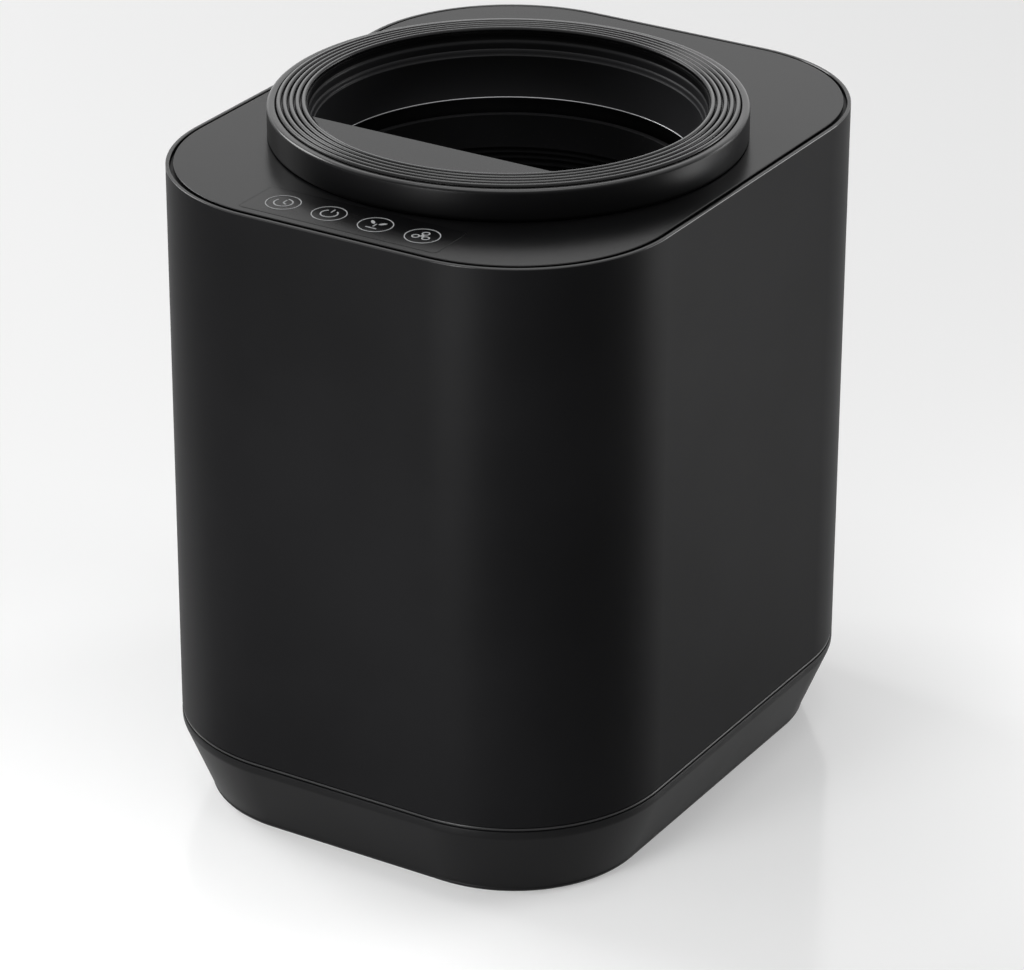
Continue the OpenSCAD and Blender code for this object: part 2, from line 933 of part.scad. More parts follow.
module blower_cover() color("#2a2b2e") {
    difference() {
        along_y(blower_front, blower_front + blower_wall)
            translate([0, blower_z])
                circle(blower_r);
        along_y(blower_front - 1, blower_front + blower_wall + 1)
            translate([0, blower_z])
                circle(inlet_r);
    }
}

module fan_motor() color("#7c7f83") {
    difference() {
        along_y(blower_back, blower_back + 13)
            translate([0, blower_z])
                circle(14);
        along_y(blower_back - 1, blower_back + 9)
            translate([0, blower_z])
                circle(1.5 + run_gap);
    }
}

module fan_rotor() color("#3b3d40") {
    disc_y = blower_back - blower_wall - 3;
    along_y(disc_y, disc_y + 1.5)
        translate([0, blower_z])
            circle(rotor_r);
    along_y(disc_y - 8, disc_y + 1)
        translate([0, blower_z])
            circle(6);
    along_y(disc_y + 1, blower_back + 8)
        translate([0, blower_z])
            circle(1.5);
    for (k = [0 : 17])
        translate([0, 0, blower_z])
            rotate([0, 20 * k, 0])
                translate([rotor_r - 9.5, disc_y - 15, -0.7])
                    cube([9, 15.1, 1.4]);
    along_y(disc_y - 16, disc_y - 14.9)
        translate([0, blower_z])
            difference() {
                circle(rotor_r);
                circle(rotor_r - 8);
            }
}

module air_duct() color("#4a4d50") {
    difference() {
        along_y(collar_y + liner_r - 10, blower_front)
            translate([0, blower_z])
                circle(inlet_r + 1.5);
        along_y(collar_y + liner_r - 11, blower_front + 1)
            translate([0, blower_z])
                circle(inlet_r);
        on_axis()
            cylinder_between(liner_r + liner_t + slip_gap, blower_z - 30, blower_z + 30);
    }
}

module filter_housing() color("#2f3033") {
    mid = housing_z + housing_h / 2;
    difference() {
        union() {
            difference() {
                along_y(housing_front, back_in - 1)
                    translate([0, mid])
                        square([housing_w, housing_h], center = true);
                jacket_room(0);
            }
            along_y(back_in - bezel_t, back_in)
                translate([0, drawer_z + drawer_h / 2])
                    card(drawer_w + 6, drawer_h + 6, 5);
        }
        difference() {
            along_y(housing_front + duct_t, back_in + 1)
                translate([0, mid])
                    square([housing_w - 2 * duct_t, housing_h - 2 * duct_t], center = true);
            jacket_room(duct_t);
        }
        along_y(panel_back - move_gap, back_in + 1)
            translate([0, drawer_z + drawer_h / 2])
                card(drawer_w + 2 * move_gap, drawer_h + 2 * move_gap, 4);
        slab(-13.4, 13.4, blower_front + 5.6, blower_back - 5.6, housing_z + housing_h - duct_t - 1,
             housing_z + housing_h + 1);
    }
}

module filter_drawer() color("#1d1e20") {
    front_z = drawer_z + drawer_h / 2;
    pull_z = drawer_z + drawer_h - 17;
    pull_in = 12;
    difference() {
        union() {
            along_y(panel_back, panel_face)
                translate([0, front_z])
                    card(drawer_w, drawer_h, 3.7);
            difference() {
                slab(-box_w / 2, box_w / 2, panel_back - drawer_len, panel_back + 0.1, box_z,
                     box_z + box_h);
                jacket_room(duct_t + 0.4);
            }
        }
        difference() {
            slab(-box_w / 2 + box_t, box_w / 2 - box_t, panel_back - drawer_len + box_t, panel_back - 0.1,
                 box_z + box_t, box_z + box_h + 1);
            slab(-26, 26, panel_face - pull_in - box_t, panel_back + 1, pull_z - box_t, pull_z + 14);
            jacket_room(duct_t + 0.4 + box_t);
        }
        slab(-24, 24, panel_face - pull_in, panel_face - 2.4, pull_z, pull_z + 12);
        slab(-24, 24, panel_face - 2.5, panel_face + 1, pull_z, pull_z + 8);
        for (i = [0 : slot_n - 1])
            along_y(panel_back - 1, panel_face + 1)
                translate([0, pull_z - 14 - 8.6 * i])
                    card(64, 3.6, 1.7);
    }
}

module filter_cartridge() color("#3c3f42") {
    lift = move_gap;
    x = box_w / 2 - box_t - 0.6;
    y0 = panel_back - drawer_len + box_t + 0.6;
    y1 = panel_face - 12 - box_t - 1;
    z0 = box_z + box_t;
    z1 = box_z + box_h - 6;
    difference() {
        slab(-x, x, y0, y1, z0, z1);
        for (i = [-4 : 4])
            slab(i * 8 - 2.2, i * 8 + 2.2, y0 + 4, y1 - 4, z1 - 3, z1 + 1);
        slab(-x - 1, x + 1, y1 - 1.2, y1 + 1, z0 + 8 + lift, z1 - 8);
        jacket_room(duct_t + 1 + box_t);
    }
}

module collar_ring() color("#1a1b1d") {
    shoulder = 4;
    on_axis()
        rotate_extrude()
            polygon(concat(
                [[throat_r + throat_t, seat_z], [throat_r + throat_t, throat_z + 0.6]],
                [[throat_r + throat_t - 0.6, throat_z], [throat_r + 0.4, throat_z]],
                [[throat_r, throat_z + 0.4], [throat_r, collar_top - step_z[3] - 0.3]],
                [[throat_r + 0.3, collar_top - step_z[3]]],
                [for (i = [2 : -1 : 1]) for (p = [
                    [step_r[i + 1] + 0.1, collar_top - step_z[i + 1] + (i == 2 ? 0 : 0.6)],
                    [step_r[i + 1] + 0.1, collar_top - step_z[i] - 0.6],
                    [step_r[i] + 0.5, collar_top - step_z[i] - 0.6],
                    [step_r[i] + 0.5, collar_top - step_z[i]]]) p],
                [[step_r[0], collar_top - step_z[1]], [step_r[0], collar_top - seal_t - 0.6]],
                [[mouth_r - 0.1, collar_top - seal_t - 0.6], [mouth_r - 0.1, collar_top - seal_t]],
                [[seal_r + slip_gap, collar_top - seal_t], [seal_r + slip_gap, collar_top - 0.6]],
                arc([collar_r - shoulder, collar_top - 0.6 - shoulder], shoulder, 90, 0),
                [[collar_r, seat_z + 0.6], [collar_r - 0.6, seat_z]]));
}

module ribbed_seal() color("#2b2c2f") {
    rise = 0.25;
    low = collar_top - seal_t;
    on_axis()
        rotate_extrude()
            polygon(concat(
                [[mouth_r, low], [mouth_r, collar_top - 0.7]],
                [for (i = [0 : rib_n - 1])
                    for (p = arc([rib_r0 + i * rib_pitch, collar_top - 0.7 + rise * (rib_n - 1 - i) / 2],
                                 rib_r, 170, 10, 6)) p],
                [[seal_r, collar_top - 1], [seal_r, low]]));
}

module front_ledge() color("#2e2f31") {
    rim_z = collar_top - step_z[1];
    on_axis()
        difference() {
            union() {
                translate([0, 0, collar_top - ledge_t])
                    cylinder(h = ledge_t, r = ledge_r);
                ring(ledge_r, ledge_r - 2.4, step_z[1] - 0.5, rim_z);
            }
            translate([-collar_r, -ledge_edge, rim_z - 1])
                cube([2 * collar_r, 2 * collar_r, collar_h]);
        }
}

// The bucket's wall, rim and ears
module bucket() color("#202124")
    difference() {
        bucket_form();
        pan_room();
    }

// The bucket's floor with its rounded edge and the stirrer's boss
module bucket_pan() color("#2b2c30")
    intersection() {
        bucket_form();
        pan_room();
    }

module pan_room()
    on_axis() {
        cylinder_between(bucket_r, bucket_z - 1, pan_top);
        cylinder_between(bucket_boss_r + 1, bucket_z - 1, boss_top + 1);
    }

module bucket_form() {
    floor_in = bucket_z + bucket_floor;
    foot = bucket_r - bucket_draw;
    bead_z = bucket_top - rim_r;
    difference() {
        union() {
            on_axis()
                rotate_extrude()
                    polygon(concat(
                        [[0, bucket_z], [foot - 5, bucket_z]],
                        arc([foot - 5, bucket_z + 5], 5, -80, 0),
                        [[bucket_r, bucket_top - 4], [rim_out - 0.6, bucket_top - 4]],
                        arc([rim_out - rim_r, bead_z], rim_r, 0, 90),
                        [[bucket_r - bucket_t + 0.4, bucket_top]],
                        [[bucket_r - bucket_t, bucket_top - 0.4]],
                        [for (d = mark_z) for (p = [[0, -0.5], [-0.8, 0], [0, 0.5]])
                            [bucket_r - bucket_t - bucket_slope * d + p[0],
                             bucket_top - d - p[1] * 1.6]],
                        arc([foot - bucket_t - 6, floor_in + 6], 6, 0, -90),
                        [[0, floor_in]]));
            on_axis() {
                cylinder_between(bucket_boss_r, floor_in - 0.1, boss_top);
                for (a = [0, 180])
                    rotate([0, 0, a])
                        intersection() {
                            translate([ear_x, -6, pivot_z - 7])
                                cube([bucket_r - ear_x, 12, 10]);
                            cylinder_between(bucket_r - 0.7, pivot_z - 10, pivot_z + 10);
                        }
            }
        }
        on_axis()
            cylinder_between(bush_r + run_gap, bucket_z - 1, boss_top + 1);
    }
}

// Two bars on the bucket's wall that hold the waste back from turning with the stirrer
module breaker_bars() color("#3a3b3e") {
    on_axis()
        for (a = [60, 240])
            rotate([0, 0, a])
                translate([0, 0, bar_z])
                    rotate([0, 90, 0])
                        cylinder_between(bar_r, bar_in, bar_out);
}

module cylinder_between(r, z0, z1) {
    translate([0, 0, z0])
        cylinder(h = z1 - z0, r = r);
}

module bucket_bushing() color("#c79a4b") {
    on_axis()
        difference() {
            union() {
                cylinder_between(bush_r, bucket_z - 0.1, boss_top);
                cylinder_between(bush_r + 3, bucket_z - flange_t, bucket_z);
            }
            cylinder_between(shaft_r + run_gap, bucket_z - flange_t - 1, boss_top + 1);
        }
}

module shaft_seal() color("#7a2f24") {
    on_axis()
        ring(bucket_boss_r - 0.5, shaft_r + run_gap, seal_h, boss_top);
}

module handle_pins() color("#b9bcc0") {
    head = handle_half - eye_t / 2 - 0.4;
    on_axis()
        for (s = [-1, 1])
            translate([0, 0, pivot_z])
                rotate([0, 90 * s, 0]) {
                    cylinder_between(pin_r, head - 0.1, ear_x);
                    cylinder_between(4, head - 1.2, head);
                }
}

module bucket_handle() color("#c3c6ca") {
    on_axis()
        translate([0, 0, pivot_z])
            difference() {
                union() {
                    intersection() {
                        translate([0, handle_mid, 0])
                            rotate_extrude()
                                translate([handle_arc, 0])
                                    circle(handle_r);
                        slab(-handle_half - 10, handle_half + 10, -handle_reach - 10, 0, -10, 10);
                    }
                    for (s = [-1, 1])
                        rotate([0, 90 * s, 0])
                            cylinder_between(eye_r, handle_half - eye_t / 2, handle_half + eye_t / 2);
                }
                for (s = [-1, 1]) {
                    rotate([0, 90 * s, 0])
                        cylinder_between(pin_r + run_gap, handle_half - 9, handle_half + 9);
                    rotate([0, 90 * s, 0])
                        cylinder_between(eye_r - 0.1, handle_half + eye_t / 2, handle_half + 9);
                    rotate([0, 90 * s, 0])
                        cylinder_between(eye_r - 0.1, handle_half - 9, handle_half - eye_t / 2);
                }
            }
}

module handle_grip() color("#131416") {
    on_axis()
        translate([0, handle_mid, pivot_z])
            rotate([0, 0, 245])
                rotate_extrude(angle = 50)
                    translate([handle_arc, 0])
                        difference() {
                            circle(handle_r + 1.8);
                            circle(handle_r + run_gap);
                        }
}

module stirrer() color("#4c4f53") {
    on_axis()
        difference() {
            union() {
                cylinder_between(hub_r, hub_z, hub_top - 6);
                translate([0, 0, hub_top - 6])
                    cylinder(h = 6, r1 = hub_r, r2 = hub_r - 7);
                translate([0, 0, hub_top - 0.1])
                    cylinder(h = spindle_top - hub_top, r1 = hub_r - 7, r2 = shaft_r + 3);
                for (a = [0, 180])
                    rotate([0, 0, a]) {
                        translate([hub_r - 4, 0, arm_z + 4])
                            rotate([-arm_tilt, 0, 0])
                                translate([0, -arm_w / 2, -arm_t / 2])
                                    cube([arm_len - hub_r + 4, arm_w, arm_t]);
                        translate([arm_len - paddle_t - 1, -paddle_w / 2, arm_z + 3])
                            cube([paddle_t, paddle_w, paddle_h]);
                    }
                for (a = [90, 270])
                    rotate([0, 0, a])
                        translate([6, 0, hub_top + 6])
                            rotate([30, 0, 0])
                                translate([0, -top_arm_w / 2, -arm_t / 2])
                                    cube([top_arm_len, top_arm_w, arm_t]);
            }
            cylinder_between(bucket_boss_r + 1, hub_z - 1, boss_top + seal_h + 0.8);
            cylinder_between(shaft_r + run_gap, hub_z, spindle_top + 1);
        }
}

module stirrer_shaft() color("#b9bcc0") {
    on_axis()
        cylinder_between(shaft_r, coupling_top, spindle_top);
}

module stirrer_nut() color("#8d9094") {
    on_axis()
        translate([0, 0, spindle_top]) {
            cylinder(h = 4, r = shaft_r + 3);
            translate([0, 0, 3.9])
                cylinder(h = 3, r1 = shaft_r + 3, r2 = shaft_r - 1);
        }
}

module bucket_coupling() color("#5b5e62") {
    slot = dog_w + 2 * move_gap;
    on_axis()
        difference() {
            cylinder_between(coupling_r, coupling_z, coupling_top);
            for (a = [0, 90])
                rotate([0, 0, a])
                    translate([-coupling_r - 1, -slot / 2, coupling_z - 1])
                        cube([2 * coupling_r + 2, slot, dog_h + 1.3]);
        }
}

module drive_coupling() color("#8d9094") {
    on_axis() {
        cylinder_between(coupling_r, dog_disc_top - dog_disc_h, dog_disc_top);
        intersection() {
            for (a = [0, 90])
                rotate([0, 0, a])
                    translate([-coupling_r, -dog_w / 2, dog_disc_top - 0.1])
                        cube([2 * coupling_r, dog_w, dog_h]);
            cylinder_between(coupling_r - 0.5, dog_disc_top - 1, dog_disc_top + dog_h + 1);
        }
    }
}

module output_shaft() color("#b9bcc0") {
    on_axis()
        cylinder_between(shaft_r, chassis_top + 2.2, dog_disc_top - dog_disc_h);
}

module output_gear() color("#dfe0da") {
    on_axis()
        difference() {
            union() {
                translate([0, 0, slow_z])
                    linear_extrude(slow_t)
                        polygon(gear_points(slow_gear_n, slow_m, 90));
                cylinder_between(shaft_r + 4, slow_z, gearbox_top - 5.4);
            }
            cylinder_between(shaft_r + run_gap, slow_z - 1, gearbox_top);
        }
}

module idler_gear() color("#c9a14e") {
    translate([0, idler_y, 0])
        difference() {
            union() {
                translate([0, 0, slow_z])
                    linear_extrude(slow_t + 2.1)
                        polygon(gear_points(slow_pinion_n, slow_m, 270 + 180 / slow_pinion_n));
                translate([0, 0, fast_z])
                    linear_extrude(fast_t)
                        polygon(gear_points(fast_gear_n, fast_m, 90));
                cylinder_between(axle_r + 3, chassis_top + 2.4, chassis_top + gearbox_h - 0.4);
            }
            cylinder_between(axle_r + run_gap, chassis_top, gearbox_top);
        }
}

module motor_pinion() color("#b9bcc0") {
    translate([0, motor_y, 0]) {
        translate([0, 0, fast_z - 1])
            linear_extrude(fast_t + 2)
                polygon(gear_points(fast_pinion_n, fast_m, 270 + 180 / fast_pinion_n));
        cylinder_between(motor_shaft_r, fast_z, gearbox_top + 11);
    }
}

outer_shell();
deck_plate();
deck_frame();
trim_ring();
base_tray();
rubber_feet();
corner_posts();
chassis_plate();
chassis_screws();
deck_screws();
gearbox_housing();
gearbox_cover();
output_bearing();
idler_axle();
drive_motor();
chamber_liner();
liner_screws();
chamber_legs();
heater_band();
insulation_jacket();
thermal_cutout();
temperature_sensor();
touch_panel();
touch_icons();
control_board();
touch_pads();
lid_sensor();
power_board();
power_components();
power_inlet();
inlet_pins();
inlet_lead();
blower_housing();
blower_cover();
fan_motor();
air_duct();
filter_housing();
collar_ring();
ribbed_seal();
front_ledge();
bucket();
bucket_pan();
breaker_bars();
bucket_bushing();
shaft_seal();
handle_pins();
bucket_handle();
handle_grip();
stirrer();
stirrer_shaft();
stirrer_nut();
bucket_coupling();
output_gear();
output_shaft();
drive_coupling();
idler_gear();
motor_pinion();
fan_rotor();
filter_drawer();
filter_cartridge();
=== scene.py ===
"""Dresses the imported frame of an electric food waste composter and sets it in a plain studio.

Sizes are in millimetres and are turned into metres as each piece is finished; the finishes and the
studio are in metres. Front is -Y, +X is to the right of someone who faces the front, and the
worktop is z = 0.
"""

import json
import logging
import math
from dataclasses import dataclass, field
from enum import Enum
from typing import Any, Dict, Iterable, List, Optional, Sequence, Tuple, Union

import bmesh
import bpy
from mathutils import Matrix, Vector

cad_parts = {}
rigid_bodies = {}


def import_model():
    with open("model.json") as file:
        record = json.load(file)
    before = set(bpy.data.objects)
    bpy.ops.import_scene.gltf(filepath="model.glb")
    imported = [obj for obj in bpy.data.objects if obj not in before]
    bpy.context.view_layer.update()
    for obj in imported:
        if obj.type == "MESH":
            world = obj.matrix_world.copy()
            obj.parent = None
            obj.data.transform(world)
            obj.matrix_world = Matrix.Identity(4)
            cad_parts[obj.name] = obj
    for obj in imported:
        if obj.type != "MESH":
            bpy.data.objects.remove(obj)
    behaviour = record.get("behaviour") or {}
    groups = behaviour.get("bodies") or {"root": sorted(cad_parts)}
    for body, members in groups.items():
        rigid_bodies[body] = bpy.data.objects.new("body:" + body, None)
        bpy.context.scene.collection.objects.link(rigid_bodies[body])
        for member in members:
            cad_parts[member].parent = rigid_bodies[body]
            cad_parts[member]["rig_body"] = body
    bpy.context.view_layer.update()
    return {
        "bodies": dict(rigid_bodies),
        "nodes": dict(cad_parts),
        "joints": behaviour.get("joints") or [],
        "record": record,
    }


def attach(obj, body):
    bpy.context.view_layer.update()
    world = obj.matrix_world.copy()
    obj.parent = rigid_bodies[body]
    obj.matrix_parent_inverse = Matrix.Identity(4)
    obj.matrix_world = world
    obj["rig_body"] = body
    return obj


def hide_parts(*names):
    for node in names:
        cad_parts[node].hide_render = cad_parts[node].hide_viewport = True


LOG = logging.getLogger("composter")
MM = 0.001
PICTURE = (1024, 970)
COLLAR_AXIS = (0.0, -5.4)
ROUND_STEPS = 192
CORNER_STEPS = 48
FLAT_CREASE = 12.0

Point = Tuple[float, float]
Point3 = Tuple[float, float, float]
Colour = Tuple[float, float, float]
Operand = Union["Field", float, int]

WHITE: Colour = (1.0, 1.0, 1.0)


# ---------------------------------------------------------------- shader expressions


class Field:
    """A shader socket that takes part in Python arithmetic."""

    def __init__(self, shade: "Shade", socket: bpy.types.NodeSocket) -> None:
        """Keeps the material being written and the socket."""
        self.shade = shade
        self.socket = socket

    def _math(self, operation: str, *operands: Operand) -> "Field":
        """Adds one Math node.

        Args:
            operation: The Math node's operation.
            operands: Its values, in order.

        Returns:
            The node's result.
        """
        return self.shade.node("ShaderNodeMath", {"operation": operation},
                               dict(enumerate(operands)))

    def __add__(self, other: Operand) -> "Field":
        """Adds a value."""
        return self._math("ADD", self, other)

    def __radd__(self, other: Operand) -> "Field":
        """Is added to a value."""
        return self._math("ADD", other, self)

    def __sub__(self, other: Operand) -> "Field":
        """Takes a value away."""
        return self._math("SUBTRACT", self, other)

    def __rsub__(self, other: Operand) -> "Field":
        """Is taken away from a value."""
        return self._math("SUBTRACT", other, self)

    def __mul__(self, other: Operand) -> "Field":
        """Multiplies by a value."""
        return self._math("MULTIPLY", self, other)

    def __rmul__(self, other: Operand) -> "Field":
        """Is multiplied by a value."""
        return self._math("MULTIPLY", other, self)

    def __truediv__(self, other: Operand) -> "Field":
        """Divides by a value."""
        return self._math("DIVIDE", self, other)

    def __rtruediv__(self, other: Operand) -> "Field":
        """Divides a value."""
        return self._math("DIVIDE", other, self)

    def __pow__(self, other: Operand) -> "Field":
        """Raises to a power."""
        return self._math("POWER", self, other)

    def sine(self) -> "Field":
        """Takes the sine."""
        return self._math("SINE", self)

    def ramped(self, low: float, high: float) -> "Field":
        """Rises from 0 to 1 between two values.

        Args:
            low: Where the result is 0.
            high: Where the result is 1.

        Returns:
            A value from 0 to 1.
        """
        return self.shade.node("ShaderNodeMapRange", {"interpolation_type": "SMOOTHSTEP"},
                               {"Value": self, "From Min": low, "From Max": high})


class Shade:
    """A material or world while its nodes are being written."""

    def __init__(self, owner: Union[bpy.types.Material, bpy.types.World],
                 surface: str = "Principled BSDF") -> None:
        """Starts with only the owner's surface shader and output.

        Args:
            owner: The new material or world.
            surface: The name of the shader node that it comes with.
        """
        self.owner = owner
        self.owner.use_nodes = True
        self.tree = self.owner.node_tree
        self.surface = self.tree.nodes[surface]

    def node(self, kind: str, settings: Optional[Dict[str, Any]] = None,
             values: Optional[Dict[Union[str, int], Any]] = None,
             output: Union[str, int] = 0) -> Field:
        """Adds one node.

        Args:
            kind: The node's type.
            settings: Its properties, set first.
            values: Numbers, colours, fields or sockets for its inputs, by name or place.
            output: The output to hand on.

        Returns:
            The chosen output.
        """
        made = self.tree.nodes.new(kind)
        for key, value in (settings or {}).items():
            setattr(made, key, value)
        for key, value in (values or {}).items():
            self.feed(made.inputs[key], value)
        return Field(self, made.outputs[output])

    def feed(self, socket: bpy.types.NodeSocket, value: Any) -> None:
        """Links a field to an input, or sets the input to a number or a colour."""
        if isinstance(value, Field):
            self.tree.links.new(value.socket, socket)
        elif isinstance(value, bpy.types.NodeSocket):
            self.tree.links.new(value, socket)
        elif isinstance(value, tuple) and socket.type == "RGBA":
            socket.default_value = (*value, 1.0)
        else:
            socket.default_value = value

    def place(self, stretch: Point3 = (1.0, 1.0, 1.0)) -> Field:
        """Gives the piece's own coordinates in metres, stretched for a drawn-out pattern."""
        spot = self.node("ShaderNodeTexCoord", output="Object")
        return self.node("ShaderNodeMapping", {}, {"Vector": spot, "Scale": stretch})

    def noise(self, scale: float, detail: float = 3.0, stretch: Point3 = (1.0, 1.0, 1.0)) -> Field:
        """Gives soft noise from 0 to 1, with scale in waves per metre."""
        return self.node("ShaderNodeTexNoise", {},
                         {"Vector": self.place(stretch), "Scale": scale, "Detail": detail})

    def along(self, axis: int) -> Field:
        """Gives one coordinate in metres: 0 for X, 1 for Y and 2 for the height."""
        spot = self.node("ShaderNodeTexCoord", output="Object")
        return self.node("ShaderNodeSeparateXYZ", {}, {0: spot}, axis)

    def away(self) -> Field:
        """Gives the distance in metres from the collar's upright axis."""
        x, y = (self.along(i) - COLLAR_AXIS[i] * MM for i in (0, 1))
        return (x * x + y * y) ** 0.5

    def flecks(self, scale: float) -> Field:
        """Gives the distance to scattered points, with scale in points per metre."""
        return self.node("ShaderNodeTexVoronoi", {}, {"Vector": self.place(), "Scale": scale})

    def blend(self, share: Operand, low: Union[Colour, Field], high: Union[Colour, Field]) -> Field:
        """Mixes two colours by a share from 0 to 1."""
        return self.node("ShaderNodeMix", {"data_type": "RGBA"}, {0: share, 6: low, 7: high}, 2)

    def bump(self, height: Operand, depth: float) -> Field:
        """Turns a height from 0 to 1 into a normal, with depth in metres for a height of 1."""
        return self.node("ShaderNodeBump", {},
                         {"Height": height, "Distance": depth, "Strength": 1.0})

    def seen(self) -> Field:
        """Gives one on rays that the camera sees directly, in gloss or through glass."""
        return sum((self.node("ShaderNodeLightPath", output=way) for way in
                    ("Is Camera Ray", "Is Glossy Ray", "Is Transmission Ray")), 0)

    def dress(self, **inputs: Any) -> Union[bpy.types.Material, bpy.types.World]:
        """Sets the surface shader's inputs, with underscores for spaces.

        Args:
            inputs: The shader's inputs.

        Returns:
            The material or world.
        """
        for key, value in inputs.items():
            self.feed(self.surface.inputs[key.replace("_", " ")], value)
        return self.owner


# ---------------------------------------------------------------- finishes


@dataclass(frozen=True)
class Finish:
    """A moulded or coated finish: two close tones, uneven gloss and a fine grain."""

    name: str
    tone: Colour
    light: Colour
    rough: Point = (0.4, 0.5)
    specular: float = 0.5
    metal: float = 0.0
    grain: float = 1800.0
    grain_depth: float = 0.00002
    cloud: float = 9.0
    polish_rough: float = 0.12

    def heights(self, shade: Shade) -> Field:
        """Gives the height of the surface's grain."""
        return shade.noise(self.grain, 2.0)

    def colour(self, shade: Shade) -> Field:
        """Gives the colour, clouded between the two tones."""
        return shade.blend(shade.noise(self.cloud, 5.0).ramped(0.32, 0.68), self.tone, self.light)

    def gloss(self, shade: Shade) -> Field:
        """Gives the roughness, uneven as handled surfaces are."""
        return self.between(shade.noise(self.cloud * 2.7, 6.0))

    def between(self, share: Field) -> Field:
        """Gives a roughness between the finish's two, by a share from 0 to 1."""
        return self.rough[0] + (self.rough[1] - self.rough[0]) * share

    def polish(self, shade: Shade) -> Operand:
        """Gives the weight of a clear polish over the finish, none unless a finish adds it."""
        return 0.0

    def plating(self, shade: Shade) -> Operand:
        """Gives the share of bare metal."""
        return self.metal

    def material(self) -> bpy.types.Material:
        """Builds the material."""
        shade = Shade(bpy.data.materials.new(self.name))
        return shade.dress(Base_Color=self.colour(shade), Roughness=self.gloss(shade),
                           Normal=shade.bump(self.heights(shade), self.grain_depth),
                           Metallic=self.plating(shade), Specular_IOR_Level=self.specular,
                           Coat_Weight=self.polish(shade), Coat_Roughness=self.polish_rough)


@dataclass(frozen=True)
class PowderCoat(Finish):
    """A satin powder coat: fine orange peel over a slow waviness of the metal."""

    wave: float = 55.0
    wave_share: float = 2.0
    rim: float = 0.3436
    rim_fade: float = 0.0003
    rim_polish: float = 0.8

    def heights(self, shade: Shade) -> Field:
        """Adds the metal's waviness to the coat's grain."""
        return shade.noise(self.grain, 2.0) + self.wave_share * shade.noise(self.wave, 1.0)

    def polish(self, shade: Shade) -> Operand:
        """Polishes the upper rim, where the coat is rubbed."""
        return self.rim_polish * shade.along(2).ramped(self.rim, self.rim + self.rim_fade)


@dataclass(frozen=True)
class Rubber(Finish):
    """Silicone or rubber: a dry surface with a few scattered specks of dust."""

    dust: Colour = (0.09, 0.09, 0.088)
    dust_share: float = 0.16

    def colour(self, shade: Shade) -> Field:
        """Lays specks of dust over the two tones."""
        specks = (1 - shade.flecks(700.0).ramped(0.05, 0.28)) * shade.noise(40.0).ramped(0.45, 0.8)
        return shade.blend(self.dust_share * specks, super().colour(shade), self.dust)


@dataclass(frozen=True)
class Ribbed(Rubber):
    """Ring-ribbed silicone that is polished on the crowns of its ribs."""

    first: float = 0.1011
    pitch: float = 0.0031
    crown_polish: float = 1.0

    def polish(self, shade: Shade) -> Operand:
        """Polishes each crown."""
        turns = (shade.away() - self.first) / self.pitch + 0.25
        return self.crown_polish * (turns * (2 * math.pi)).sine().ramped(0.1, 0.75)


@dataclass(frozen=True)
class Lined(Finish):
    """A moulded ring with painted light in its throat, a lighter colour where too little lamp light
    reaches, and a lower lip that is a thin metal bead.
    """

    # painted light: a lighter colour for the throat, standing in for lamp light that hardly reaches
    # it
    inside: Colour = (0.034, 0.034, 0.036)
    bead: Colour = (0.3, 0.3, 0.31)
    bore: float = 0.0985
    bead_out: float = 0.0968
    bead_top: float = 0.3256
    face: float = 0.3593
    face_inner: float = 0.1152
    face_polish: float = 0.9

    def lip(self, shade: Shade) -> Field:
        """Gives one on the bead and none elsewhere."""
        low = 1 - shade.along(2).ramped(self.bead_top - 0.0001, self.bead_top)
        return low * (1 - shade.away().ramped(self.bead_out - 0.0002, self.bead_out))

    def colour(self, shade: Shade) -> Field:
        """Gives the outside's colour, the painted light of the throat and the bead's colour."""
        # painted light: inside the bore radius the throat is coloured lighter than the outside
        throat_with_painted_light = shade.blend(shade.away().ramped(self.bore, self.bore + 0.0006), self.inside,
                             super().colour(shade))
        return shade.blend(self.lip(shade), throat_with_painted_light, self.bead)

    def plating(self, shade: Shade) -> Operand:
        """Makes the bead metal."""
        return self.lip(shade)

    def polish(self, shade: Shade) -> Operand:
        """Polishes the top face outside the seal."""
        outside = shade.away().ramped(self.face_inner - 0.0005, self.face_inner)
        return self.face_polish * outside * shade.along(2).ramped(self.face, self.face + 0.001)


@dataclass(frozen=True)
class Brushed(Finish):
    """Metal with fine lines along one direction."""

    stretch: Point3 = (1.0, 1.0, 30.0)

    def heights(self, shade: Shade) -> Field:
        """Draws the grain out into lines."""
        return shade.noise(self.grain, 3.0, self.stretch)

    def gloss(self, shade: Shade) -> Field:
        """Lets the lines vary the gloss."""
        return self.between(shade.noise(self.grain * 0.6, 4.0, self.stretch))


@dataclass(frozen=True)
class Turned(Finish):
    """Metal with rings round an upright axis, as spinning or turning leaves."""

    pitch: float = 0.0009

    def heights(self, shade: Shade) -> Field:
        """Adds turning marks to the grain."""
        along = shade.away() + shade.along(2)
        rings = (along * (2 * math.pi / self.pitch)).sine()
        return 0.5 + 0.3 * rings + 0.6 * shade.noise(self.grain, 3.0)


@dataclass(frozen=True)
class Speckled(Finish):
    """A baked non-stick coat with pale flecks in it and light wear."""

    fleck: Colour = (0.13, 0.13, 0.135)
    fleck_pitch: float = 520.0
    fleck_size: float = 0.16

    def colour(self, shade: Shade) -> Field:
        """Scatters the flecks over the coat."""
        dots = 1 - shade.flecks(self.fleck_pitch).ramped(self.fleck_size * 0.6, self.fleck_size)
        some = shade.noise(self.fleck_pitch * 0.7, 1.0).ramped(0.5, 0.62)
        return shade.blend(dots * some, super().colour(shade), self.fleck)


@dataclass(frozen=True)
class Gloss(Finish):
    """A clear hard film over a printed back: smears change its gloss slightly."""

    coat: float = 0.06
    smear: float = 30.0

    def gloss(self, shade: Shade) -> Field:
        """Smears the gloss in slanting wipes."""
        return self.between(shade.noise(self.smear, 4.0, (1.0, 2.4, 1.0)).ramped(0.35, 0.75))

    def polish(self, shade: Shade) -> Operand:
        """Lays a thin clear coat over the film."""
        return self.coat


